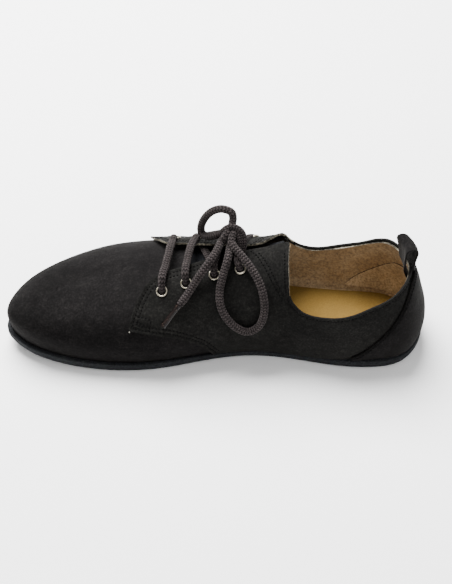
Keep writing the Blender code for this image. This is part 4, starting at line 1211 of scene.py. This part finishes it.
def make_quarter(name, side, node):
    columns = quarter_columns(side)
    piece, column, row = blank(name, len(columns), QUARTER_ROWS)
    way = row / (QUARTER_ROWS - 1.0)
    foot, low, top, high = columns[column].T
    place = foot + (top - foot) * way
    share = low + (high - low) * way
    ways = outward(place, share)
    points = quarter_face(place, share)
    for line, depth, width in QUARTER_CREASES:
        points = crease(points, ways, [(side * spot, height) for spot, height in line], depth, width)
    lay(piece, points)
    face_like(piece, ways)
    tree = BVHTree.FromObject(piece, bpy.context.evaluated_depsgraph_get())

    # The free edge runs up the front from the sole, and back along the top to where the facing starts
    grid = {(c, r): index for index, (c, r) in enumerate(zip(column, row))}
    last_column, last_row = len(columns) - 1, QUARTER_ROWS - 1
    free_from = next(c for c in range(last_column) if columns[c, 1] > FREE_OVER and abs(columns[c, 0]) > 5.0)
    front_from = QUARTER_COLLAR_POINTS + FACING_START
    border = [grid[c, 0] for c in range(free_from, last_column)]
    border += [grid[last_column, r] for r in range(last_row)]
    border += [grid[c, last_row] for c in range(last_column, front_from, -1)]
    edge_line, edge_ways = points[border], ways[border] * side
    rows = [offset_line(tree, edge_line, edge_ways, inset) for inset in STITCH_INSET]
    setback = 1.0 if side > 0 else 1.0 - LATERAL_SETBACK
    for seam in SEAMS:
        line = [(side * (spot * (setback if spot > FLAP_FRONT else 1.0)), height) for spot, height in seam]
        rows.append(quarter_face(*table_curve(line, SEAM_STEPS).T))
    collar = [grid[c, last_row] for c in range(COLLAR_ROW_FROM, QUARTER_COLLAR_POINTS - COLLAR_ROW_STOP)]
    rows.append(offset_line(tree, points[collar], ways[collar] * -side, COLLAR_INSET))
    for line in rows:
        points = press(points, ways, line, *ROW_GROOVE)
    points = press(points, ways, edge_line, *EDGE_SWELL)
    counter_line = last(side * np.array(counter_places), counter_shares, QUARTER_OUT)
    lay(piece, press(points, ways, counter_line, *COUNTER_MARK))
    punch(piece, side)
    give(piece, QUARTER_NUBUCK, LINING, RAW_EDGE, DYED_EDGE)
    thicken(piece, OVERLAY_WALL, EDGE_BEVEL)
    # The medial edge is raw at the collar's front alone, and the lateral one along the flap
    if side > 0:
        dye(piece, EDGE_SLOT,
            lambda spot: not (MEDIAL_RAW_FROM < spot.x < MEDIAL_RAW_TO and spot.z > MEDIAL_RAW_ABOVE))
    else:
        dye(piece, EDGE_SLOT, lambda spot: spot.x < LATERAL_RAW_FROM)
        dye(piece, INNER_SLOT)
    dress(piece, "quarter_suede", node)
    return piece, rows


medial, medial_rows = make_quarter("quarter_medial_nubuck", 1.0, "quarter_medial")
lateral, lateral_rows = make_quarter("quarter_lateral_nubuck", -1.0, "quarter_lateral")
dress(sew("stitches_medial", medial, medial_rows), "quarter_suede")
dress(sew("stitches_lateral", lateral, lateral_rows), "quarter_suede")
# The pale end of a thread shows at the flap's lower corner
THREAD_END = (7.455, 0.400)
corner = last(*THREAD_END, QUARTER_OUT + flap_lift(*THREAD_END) + 0.0002)
end_points = STITCH_POINTS * (0.0010, 0.0007, 0.0009) + corner
dress(add_mesh("pale_thread_end", end_points, STITCH_FACES, PALE_THREAD), "quarter_suede")

# %% [markdown]
# ## The heel counter
# The counter is the piece of suede that stiffens the heel. It lies over both quarters, and its front edge
# runs down to the sole on either side.

# %% Counter
COUNTER_POINTS, COUNTER_ROWS = 150, 48
COUNTER_PINCH = (0.0006, 0.0012)
COUNTER_CREASE = (((0.9, 0.30), (0.2, 0.33), (-0.7, 0.30)), 0.0003, 0.0060)
SEAM_BELOW = 0.016
places = np.linspace(-counter_places[-1], counter_places[-1], COUNTER_POINTS)
low = lip_share(places, COUNTER_FOOT)
high = np.interp(np.abs(places), counter_places, counter_shares)
high = np.convolve(np.pad(high, 4, mode="edge"), np.ones(9) / 9.0, mode="valid")
counter, column, row = blank("heel_counter_suede", COUNTER_POINTS, COUNTER_ROWS)
place = places[column]
share = low[column] + (high - low)[column] * row / (COUNTER_ROWS - 1.0)
ways = outward(place, share)
points = last(place, share, COUNTER_OUT)
points = press(points, ways, points[row == COUNTER_ROWS - 1], *COUNTER_PINCH)
points = crease(points, ways, *COUNTER_CREASE)
counter_line = last(places, high - SEAM_BELOW, COUNTER_OUT)
panel(counter, points, ways, (VAMP_SUEDE, LINING, DYED_EDGE), OVERLAY_WALL, EDGE_BEVEL)
dress(counter, "vamp_suede", "heel_counter")
dress(sew("stitches_counter", counter, [counter_line[3:-3]]), "vamp_suede")

# %% [markdown]
# ## The tongue
# The tongue is a thin soft panel inside the upper, sewn under the vamp and free at its top.

# %% Tongue
TONGUE_THICKNESS = 0.0018
TONGUE_GAP = 0.0008
TONGUE_START, TONGUE_END, TONGUE_SIDE = 4.10, 6.90, 0.710
TONGUE_COLUMNS, TONGUE_HALF = 70, 36
TONGUE_WAVE = 0.00035
tongue, column, row = blank("tongue_nubuck_panel", TONGUE_COLUMNS, 2 * TONGUE_HALF + 1)
place = TONGUE_START + (TONGUE_END - TONGUE_START) * column / (TONGUE_COLUMNS - 1.0)
half = (row - TONGUE_HALF) / TONGUE_HALF
share = 1.0 - (1.0 - TONGUE_SIDE) * np.abs(half)
side = np.where(half < 0.0, 1.0, -1.0)
out = -(UPPER_WALL + TONGUE_GAP)
# Near the crest, each point moves to the middle between its two sides, which rounds the ridge
points = last(side * place, share, out)
middle = 0.5 * (last(place, share, out) + last(-place, share, out))
near_crest = np.exp(-(np.abs(half) / 0.10) ** 2)[:, None]
points = points * (1.0 - near_crest) + middle * near_crest
ways = outward(side * place, share)
wave = TONGUE_WAVE * np.sin(place * 5.2 + half * 1.3) * np.cos(half * 2.4)
points = points - ways * (wave + TONGUE_WAVE)[:, None]
panel(tongue, points, ways, (TONGUE_NUBUCK, TONGUE_NUBUCK, DYED_EDGE), TONGUE_THICKNESS, 0.0003)
dress(tongue, "tongue_leather", "tongue")

# %% [markdown]
# ## Inside the heel
# A second layer of suede lines the heel, so that the foot doesn't slip. Its upper edge is an arc that runs
# down to the insole. Below, the lining turns in over the insole's edge as a soft fillet.

# %% Heel grip and lining margin
GRIP_EDGE = (
    # place, share of the section
    (0.00, 0.372), (0.60, 0.352), (1.12, 0.319), (1.60, 0.250), (1.94, 0.195), (2.22, 0.140), (2.42, 0.085),
    (2.52, 0.050),
)
GRIP_WALL = 0.0006
GRIP_COLUMNS, GRIP_ROWS = 110, 30
GRIP_FOOT = 0.035
grip_places, grip_shares = zip(*GRIP_EDGE)
places = np.linspace(-grip_places[-1], grip_places[-1], GRIP_COLUMNS)
grip, column, row = blank("heel_grip_suede", GRIP_COLUMNS, GRIP_ROWS)
place = places[column]
high = np.interp(np.abs(place), grip_places, grip_shares)
share = GRIP_FOOT + (high - GRIP_FOOT) * row / (GRIP_ROWS - 1.0)
points = last(place, share, -LINING_WALL - 0.0001)
# Its finish is the lining painted lighter, as painted light against the shade inside the heel.
panel(grip, points, outward(place, share), (HEEL_GRIP_PAINTED_LIGHT, HEEL_GRIP_PAINTED_LIGHT, DYED_EDGE), GRIP_WALL)
dress(grip, "insole_leather")

INSOLE_THICKNESS = 0.0030
MARGIN_COLUMNS, MARGIN_ROWS = 150, 9
MARGIN_WALL = 0.0005
MARGIN_END = 4.6
# How far the fillet reaches in at each place
MARGIN_REACH = ((0.0, 0.0014), (1.0, 0.0016), (2.0, 0.0034), (3.0, 0.0052), (3.9, 0.0060), (4.6, 0.0060))
margin, column, row = blank("lining_margin", MARGIN_COLUMNS, MARGIN_ROWS)
place = np.linspace(-MARGIN_END, MARGIN_END, MARGIN_COLUMNS)[column]
t = (row / (MARGIN_ROWS - 1.0))[:, None]
reach = np.interp(np.abs(place), *zip(*MARGIN_REACH))
inner_x, inner_y = edge(place, RIM(place) + UPPER_WALL + reach)
insole_top = lift(inner_x) + PLATE_THICKNESS + SEAM_GAP + INSOLE_THICKNESS
# It curves from just under the insole's top, by a corner, to the wall above
inner = np.column_stack((inner_x - HEEL_REST_X, inner_y, insole_top - 0.0002))
wall = last(place, share_at(place, insole_top + 0.0012 + reach * 0.55), -LINING_WALL - 0.0002)
corner = np.column_stack((wall[:, 0], wall[:, 1], insole_top + 0.0005))
points = inner * (1 - t) ** 2 + 2.0 * corner * t * (1 - t) + wall * t ** 2
panel(margin, points, np.tile((0.0, 0.0, 1.0), (len(points), 1)), [LINING] * 3, MARGIN_WALL)
dress(margin, "insole_leather")

# %% [markdown]
# ## The sole and the insole
# The outsole is a thin cup of rubber. It is a grid again, rolled round the shoe: its rows start at the
# middle of the underside, run out to the edge, up the side, over the lip and back in to the middle of the
# plate, and its ends are merged. The tread is a field of low six-sided pads on the recessed underside.

# %% Outsole
SIDE_DRAFT = 0.0024
SIDE_STEP = 0.0005
EDGE_ROUND = 0.0008
TREAD_DEPTH = 0.0007
TREAD_MARGIN = 0.0045
SOLE_COLUMNS, FLOOR_ROWS = 361, 7


def middle_of(place, inset_at):
    """The middle between the two edges, each moved in by its own inset."""
    near_x, near_y = edge(place, inset_at(place))
    far_x, far_y = edge(-place, inset_at(-place))
    return (near_x + far_x) * 0.5, (near_y + far_y) * 0.5


def between(start, end, t):
    return start[0] + (end[0] - start[0]) * t, start[1] + (end[1] - start[1]) * t


def sole_rows(place):
    """The outsole's cross-section at each place, from the middle below round to the middle above."""
    inner = RIM(place) - SEAM_GAP
    edge_x, _ = edge(place, 0.0)
    base = lift(edge_x)
    inner_x, _ = edge(place, inner)
    lip_z = lift(inner_x) + PLATE_THICKNESS + LIP(place)
    side_rows = (
        # inset, height or nothing for the underside, height over the underside
        (TREAD_MARGIN, None, TREAD_DEPTH),
        (TREAD_MARGIN - 0.0006, None, 0.0),
        (SIDE_DRAFT + 0.0003, None, 0.0),
        (SIDE_DRAFT - 0.0006, base + 0.0002, 0.0),
        (SIDE_STEP + 0.0005, base + SIDE_DRAFT * 0.36, 0.0),
        (SIDE_STEP, base + SIDE_DRAFT * 0.52, 0.0),
        (0.00015, base + PLATE_THICKNESS * 0.48, 0.0),
        (0.0, base + PLATE_THICKNESS * 0.62, 0.0),
        (0.0, (base + PLATE_THICKNESS * 0.6 + lip_z) * 0.5, 0.0),
        (0.0, lip_z - EDGE_ROUND, 0.0),
        (0.00022, lip_z - EDGE_ROUND * 0.35, 0.0),
        (np.minimum(EDGE_ROUND, inner * 0.4), lip_z, 0.0),
        (inner - 0.0002, lip_z, 0.0),
        (inner, lip_z - 0.0003, 0.0),
        (inner, lift(inner_x) + PLATE_THICKNESS, 0.0),
    )
    rows = []
    middle = middle_of(place, lambda spot: TREAD_MARGIN)
    for number in range(FLOOR_ROWS):
        x, y = between(middle, edge(place, TREAD_MARGIN), number / FLOOR_ROWS)
        rows.append((x, y, lift(x) + TREAD_DEPTH))
    for inset, z, up in side_rows:
        x, y = edge(place, inset)
        rows.append((x, y, lift(x) + up if z is None else z))
    middle = middle_of(place, lambda spot: RIM(spot) - SEAM_GAP)
    for number in range(1, FLOOR_ROWS + 1):
        x, y = between(edge(place, inner), middle, number / FLOOR_ROWS)
        rows.append((x, y, lift(x) + PLATE_THICKNESS))
    return np.array([np.column_stack(np.broadcast_arrays(x, y, z)) for x, y, z in rows])


section = sole_rows(np.linspace(-TIP, TIP, SOLE_COLUMNS))
section[:, :, 0] -= HEEL_REST_X
outsole, column, row = blank("outsole_rubber", SOLE_COLUMNS, len(section))
lay(outsole, section[row, column])
join_doubles(outsole)
edit(outsole)
bpy.ops.mesh.normals_make_consistent(inside=False)
end_edit()
give(outsole, RUBBER)
dress(outsole, "sole_rubber", "outsole")

# %% Tread pads
PAD_PITCH = 0.0075
PAD_RADIUS = 0.0034
PAD_DEPTH = TREAD_DEPTH + 0.0002
# The field is a honeycomb: its lines lie closer than its pads by the sine of 60 degrees
LINE_SHARE = 0.866
bpy.ops.object.select_all(action="DESELECT")
bpy.ops.mesh.primitive_circle_add(vertices=6, radius=PAD_RADIUS, fill_type="NGON")
pad = bpy.context.object
bpy.ops.object.mode_set(mode="EDIT")
bpy.ops.mesh.extrude_region_move(TRANSFORM_OT_translate={"value": (0.0, 0.0, -PAD_DEPTH * 0.6)})
bpy.ops.transform.resize(value=(0.94, 0.94, 1.0))
bpy.ops.mesh.extrude_region_move(TRANSFORM_OT_translate={"value": (0.0, 0.0, -PAD_DEPTH * 0.4)})
bpy.ops.transform.resize(value=(0.86, 0.86, 1.0))
end_edit()
PAD_POINTS, PAD_FACES = take_shape(pad)
PAD_POINTS[:, 2] -= PAD_POINTS[:, 2].min()
outline = np.column_stack(edge(np.linspace(-TIP, TIP, 241)[:-1], TREAD_MARGIN + 0.0012))


def inside(x, y, loop):
    """Whether a point lies in a closed outline in plan."""
    crossings = 0
    for (ax, ay), (bx, by) in zip(loop, np.roll(loop, -1, axis=0)):
        if (ay > y) != (by > y) and x < ax + (bx - ax) * (y - ay) / (by - ay):
            crossings += 1
    return crossings % 2 == 1


pads = []
for line_number in range(-9, 10):
    y = line_number * PAD_PITCH * LINE_SHARE
    for step in range(-2, 45):
        x = (step + 0.5 * (line_number % 2)) * PAD_PITCH
        if all(inside(x + PAD_RADIUS * math.cos(turn), y + PAD_RADIUS * math.sin(turn), outline)
               for turn in (0.5, 2.6, 3.7, 5.8)):
            placed = PAD_POINTS + (x, y, 0.0)
            placed[:, 2] += lift(placed[:, 0])
            placed[:, 0] -= HEEL_REST_X
            pads.append(placed)
dress(add_copies("tread_pads", pads, PAD_FACES, RUBBER), "sole_rubber")
print("tread pads:", len(pads))

# %% Insole
INSOLE_FIT = 0.0006
INSOLE_COLUMNS, INSOLE_ROWS = 301, 22
# Where heel and ball have pressed it: depth, middle ahead of the heel's back, reach along and across
DISHES = ((0.0007, 0.045, 0.030, 0.022), (0.0005, 0.190, 0.034, 0.034))


def insole_inset(place):
    return RIM(place) + UPPER_WALL + INSOLE_FIT


insole, column, row = blank("insole_leather_sheet", INSOLE_COLUMNS, INSOLE_ROWS)
place = np.linspace(-TIP, TIP, INSOLE_COLUMNS)[column]
t = row / (INSOLE_ROWS - 1.0)
x, y = between(middle_of(place, insole_inset), edge(place, insole_inset(place)), t)
dish = sum(deep * np.exp(-((x - at) / along) ** 2 - (y / across) ** 2) for deep, at, along, across in DISHES)
z = lift(x) + PLATE_THICKNESS + SEAM_GAP + INSOLE_THICKNESS - dish - 0.0003 * smooth((t - 0.95) / 0.05)
lay(insole, np.column_stack((x - HEEL_REST_X, y, z)))
face_like(insole, np.tile((0.0, 0.0, 1.0), (len(x), 1)))
join_doubles(insole)
give(insole, INSOLE_LEATHER, LINING, RAW_EDGE)
thicken(insole, INSOLE_THICKNESS - 0.0008, 0.0003)
dress(insole, "insole_leather", "insole")

# %% [markdown]
# ## The pull loop
# The pull loop is a strap of suede folded over the back of the collar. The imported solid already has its
# path, so a copy is merged, its triangles are made four-sided, and Subdivision rounds the fold.

# %% Pull loop
EDGE_CREASE = 0.45
solid = frame["nodes"]["pull_loop"]
pull = bpy.data.objects.new("pull_loop_suede", solid.data.copy())
bpy.context.scene.collection.objects.link(pull)
pull.data.materials.clear()
give(pull, VAMP_SUEDE)
edit(pull)
bpy.ops.mesh.customdata_custom_splitnormals_clear()
bpy.ops.mesh.remove_doubles(threshold=0.00001)
bpy.ops.mesh.tris_convert_to_quads(face_threshold=math.radians(60.0), shape_threshold=math.radians(120.0))
bpy.ops.mesh.select_all(action="DESELECT")
bpy.ops.mesh.edges_select_sharp(sharpness=math.radians(65.0))
bpy.ops.transform.edge_crease(value=EDGE_CREASE)
end_edit()
rounder = pull.modifiers.new("rounder", "SUBSURF")
rounder.levels = rounder.render_levels = 3
apply_modifiers(pull)
dress(pull, "vamp_suede", "pull_loop")

# %% [markdown]
# ## Eyelets
# Each eyelet is a turned nickel ring. A circle is extruded through the ring's cross-section, as on a lathe,
# and closed. One is modelled and each copy has its own mesh.

# %% Eyelets
EYELET_PROFILE = (
    # radius and height in millimetres, from the flange's outer foot over its crown and down the barrel
    (3.82, -0.10), (3.86, 0.14), (3.78, 0.38), (3.56, 0.58), (3.28, 0.67), (3.02, 0.62), (2.84, 0.42),
    (2.74, 0.14), (2.70, -0.30), (2.70, -2.10), (2.90, -2.10), (2.90, -0.20),
)
bpy.ops.object.select_all(action="DESELECT")
bpy.ops.mesh.primitive_circle_add(vertices=40, radius=EYELET_PROFILE[0][0] * MM)
ring_piece = bpy.context.object
edit(ring_piece)
bpy.ops.mesh.select_mode(type="EDGE")
bpy.ops.mesh.select_all(action="SELECT")
for (r0, z0), (r1, z1) in zip(EYELET_PROFILE[:-1], EYELET_PROFILE[1:]):
    bpy.ops.mesh.extrude_edges_move(TRANSFORM_OT_translate={"value": (0.0, 0.0, (z1 - z0) * MM)})
    bpy.ops.transform.resize(value=(r1 / r0, r1 / r0, 1.0), center_override=(0.0, 0.0, 0.0))
bpy.ops.mesh.select_all(action="DESELECT")
bpy.ops.mesh.select_non_manifold()
bpy.ops.mesh.bridge_edge_loops()
bpy.ops.mesh.select_all(action="SELECT")
bpy.ops.mesh.normals_make_consistent(inside=False)
end_edit()
RING_POINTS, RING_FACES = take_shape(ring_piece)
for side_name, side in (("medial", 1.0), ("lateral", -1.0)):
    for number in range(len(EYELETS)):
        seat, way = eyelet_seat(side, number)
        turn = np.array(Vector(way).to_track_quat("Z", "Y").to_matrix())
        points = RING_POINTS @ turn.T + seat + way * RING_STAND
        name = "eyelet_%s_%d" % (side_name, number + 1)
        dress(add_mesh(name + "_ring", points, RING_FACES, NICKEL), "eyelet_metal", name)

# %% [markdown]
# ## The lace through the eyelets
# Each crossing comes up through a medial eyelet, arches over the flaps and goes down through the lateral
# one. Below, the lace steps on to the next pair, pressed flat: first under the medial flap, where it stays
# hidden, and then across the tongue.

# %% Crossings
# How far each crossing bows towards the toe, in places, and how much lower it lies on the lateral side
BAR_BOW = (0.00, 0.06, 0.06, 0.16)
BAR_DROP = (0.0022, 0.0022, 0.0022, 0.0042)
BAR_RADII = ((0.0, 0.78), (0.08, 0.84), (0.2, 1.0), (0.7, 1.0), (0.88, 0.84), (1.0, 0.78))
# How far below its eyelet a crossing starts and ends
BAR_DEPTHS = (0.0050, 0.0010)
EYELET_CROWN = 0.0008


def bar_route(number):
    medial_place, medial_share, lateral_place, lateral_share = EYELETS[number]
    seat, way = eyelet_seat(1.0, number)
    route = [seat - way * depth for depth in BAR_DEPTHS]
    for across in np.linspace(-0.80, 0.80, 9):
        side = 1.0 if across < 0.0 else -1.0
        place = 0.5 * (medial_place + lateral_place) - 0.5 * across * (medial_place - lateral_place)
        place += BAR_BOW[number] * (1.0 - across ** 2)
        share = 1.0 - abs(across) * (1.0 - (medial_share if side > 0 else lateral_share))
        out = QUARTER_OUT + flap_lift(place, share) + SEAM_GAP + LACE_WIDTH * 0.5
        out += (EYELET_CROWN + EYELET_STAND) * smooth((abs(across) - 0.4) / 0.3)
        if across > 0.0:
            out -= BAR_DROP[number] * smooth((across - 0.25) / 0.4)
        route.append(last(side * place, share, out))
    seat, way = eyelet_seat(-1.0, number)
    return route + [seat - way * depth for depth in BAR_DEPTHS[::-1]]


for number in range(len(EYELETS)):
    bar, _ = lace("lace_crossing_%d" % (number + 1), bar_route(number), radii=BAR_RADII)
    dress(bar, "lace_yarn", "lace_bar_%d" % (number + 1))

# %% Strands under the flaps
UNDER_FLAT = ((0.0, 0.45), (0.3, 0.62), (0.7, 0.62), (1.0, 0.45))
for number in range(len(EYELETS) - 1):
    lateral_place, lateral_share = EYELETS[number][2:]
    medial_place, medial_share = EYELETS[number + 1][:2]
    route = []
    for t in np.linspace(0.0, 1.0, 11):
        side = -1.0 if t < 0.5 else 1.0
        place = lateral_place + (medial_place - lateral_place) * t
        share = 1.0 - abs(2.0 * t - 1.0) * (1.0 - (lateral_share if t < 0.5 else medial_share))
        out = -0.0008
        if number == 0:
            first_place, first_share = EYELETS[0][:2]
            side, out = 1.0, 0.0012
            place = first_place + (medial_place - first_place) * t
            share = first_share + (medial_share - first_share) * t
        route.append(last(side * place, share, out))
    under, _ = lace("lace_under_%d" % (number + 1), route, flat=UNDER_FLAT)
    dress(under, "lace_yarn")

# %% [markdown]
# ## The knot
# The knot is the lace wrapped over itself. One band comes from the standing loop, goes over the top and runs
# down to the upper crossing, one fills its fold, and one lies across below. The free parts run on under
# them. All are placed in the picture's own directions: to the right, up and towards the camera.

# %% Knot
KNOT_CENTRE = np.array((0.0889, -0.0140, 0.0778))
TO_RIGHT = np.array((-1.0, 0.0, 0.0))
TOWARD = np.array(toward_camera)
UP = np.cross(TOWARD, TO_RIGHT)
KNOT_BANDS = (
    # width share, then millimetres to the right, up and towards the camera from the knot's centre
    (0.88, ((-8.3, 0.7, -1.9), (-7.0, 1.9, 1.0), (-4.7, 3.6, 3.2), (-1.7, 4.5, 4.3), (1.6, 3.7, 4.5),
            (4.5, 1.5, 3.9), (6.1, -1.9, 3.0), (6.2, -6.2, 1.6), (5.4, -10.6, 0.0), (4.2, -14.0, -1.6))),
    (0.80, ((0.4, 3.0, 2.4), (2.4, 0.6, 3.6), (3.6, -3.4, 3.2), (4.0, -7.4, 2.0), (3.6, -11.0, 0.2))),
    (1.00, ((4.8, 2.2, -3.4), (1.4, 1.6, -2.0), (-2.6, 0.2, -1.6), (-6.0, -1.4, -2.4))),
)
WRAP_RADII = ((0.0, 1.0), (0.85, 1.0), (1.0, 0.86))
# Where the free parts run on under the wrap, from the first or the last spot of their routes
ROOTS = (
    ("lace_end_near", 0, ((-6.0, -1.6, 3.2), (-3.6, 2.2, 3.0), (-1.6, 3.6, 0.6))),
    ("lace_loop_near", 0, ((-1.4, -2.6, 5.2), (-0.2, 0.8, 3.8), (0.4, 3.2, 1.2))),
    ("lace_loop_near", -1, ((-1.6, -4.4, 1.8), (0.0, 0.0, 0.6))),
    ("lace_loop_far", 0, ((-1.8, 4.2, 1.4), (-1.2, 1.0, 0.0))),
    ("lace_loop_far", -1, ((-4.6, 1.0, -1.2), (0.0, 0.4, -1.2))),
    ("lace_end_far", 0, ((1.6, 1.6, -4.6), (0.0, 0.6, -1.4))),
)


def knot_place(right, up, near):
    return KNOT_CENTRE + (TO_RIGHT * right + UP * up + TOWARD * near) * MM


ROOT_SHARE = 0.98
ROOT_LAP = 0.0014
bands = [(share, [knot_place(*spot) for spot in spots]) for share, spots in KNOT_BANDS]
for node, at, spots in ROOTS:
    start, before = (np.array(ROUTES[node][spot]) for spot in ((0, 1) if at == 0 else (-1, -2)))
    ahead = (start - before) / np.linalg.norm(start - before)
    bands.append((ROOT_SHARE, [start - ahead * ROOT_LAP, start] + [knot_place(*spot) for spot in spots]))
for number, (share, route) in enumerate(bands):
    wrap, _ = lace("knot_band_%d" % (number + 1), route, width=LACE_WIDTH * share, radii=WRAP_RADII)
    dress(wrap, "lace_yarn", "lace_knot")

# %% [markdown]
# ## Floor and light
# A plain pale floor and soft light: a bright world, a broad light over the far side of the shoe, towards the
# toe, that draws the soft shadow and lights its top, and a weak one from the camera's side.

# %% Stage
LIGHT_AIM = Vector((0.10, 0.0, 0.03))
bpy.ops.object.select_all(action="DESELECT")
bpy.ops.mesh.primitive_plane_add(size=8.0, location=(0.1, 0.0, -0.0002))
floor = bpy.context.object
floor.name = "floor"
card = Finish("floor_card", 0.9)
give(floor, card.paint(card.ramp(card.noise(3.0, 2.0), (0.3, 0.94), (0.7, 0.955))))


def soft_light(name, location, size, power):
    bpy.ops.object.light_add(type="AREA", location=location)
    light = bpy.context.object
    light.name = name
    light.data.shape = "DISK"
    light.data.size = size
    light.data.energy = power
    light.rotation_mode = "QUATERNION"
    light.rotation_quaternion = (LIGHT_AIM - light.location).to_track_quat("-Z", "Y")


soft_light("over_light", (0.40, -0.70, 1.12), 1.1, 110.0)
soft_light("front_light", (-0.30, 1.10, 0.80), 1.0, 6.0)
world = bpy.data.worlds.new("studio")
bpy.context.scene.world = world
world.use_nodes = True
world.node_tree.nodes["Background"].inputs["Color"].default_value = (1.0, 1.0, 1.0, 1.0)
world.node_tree.nodes["Background"].inputs["Strength"].default_value = 0.75
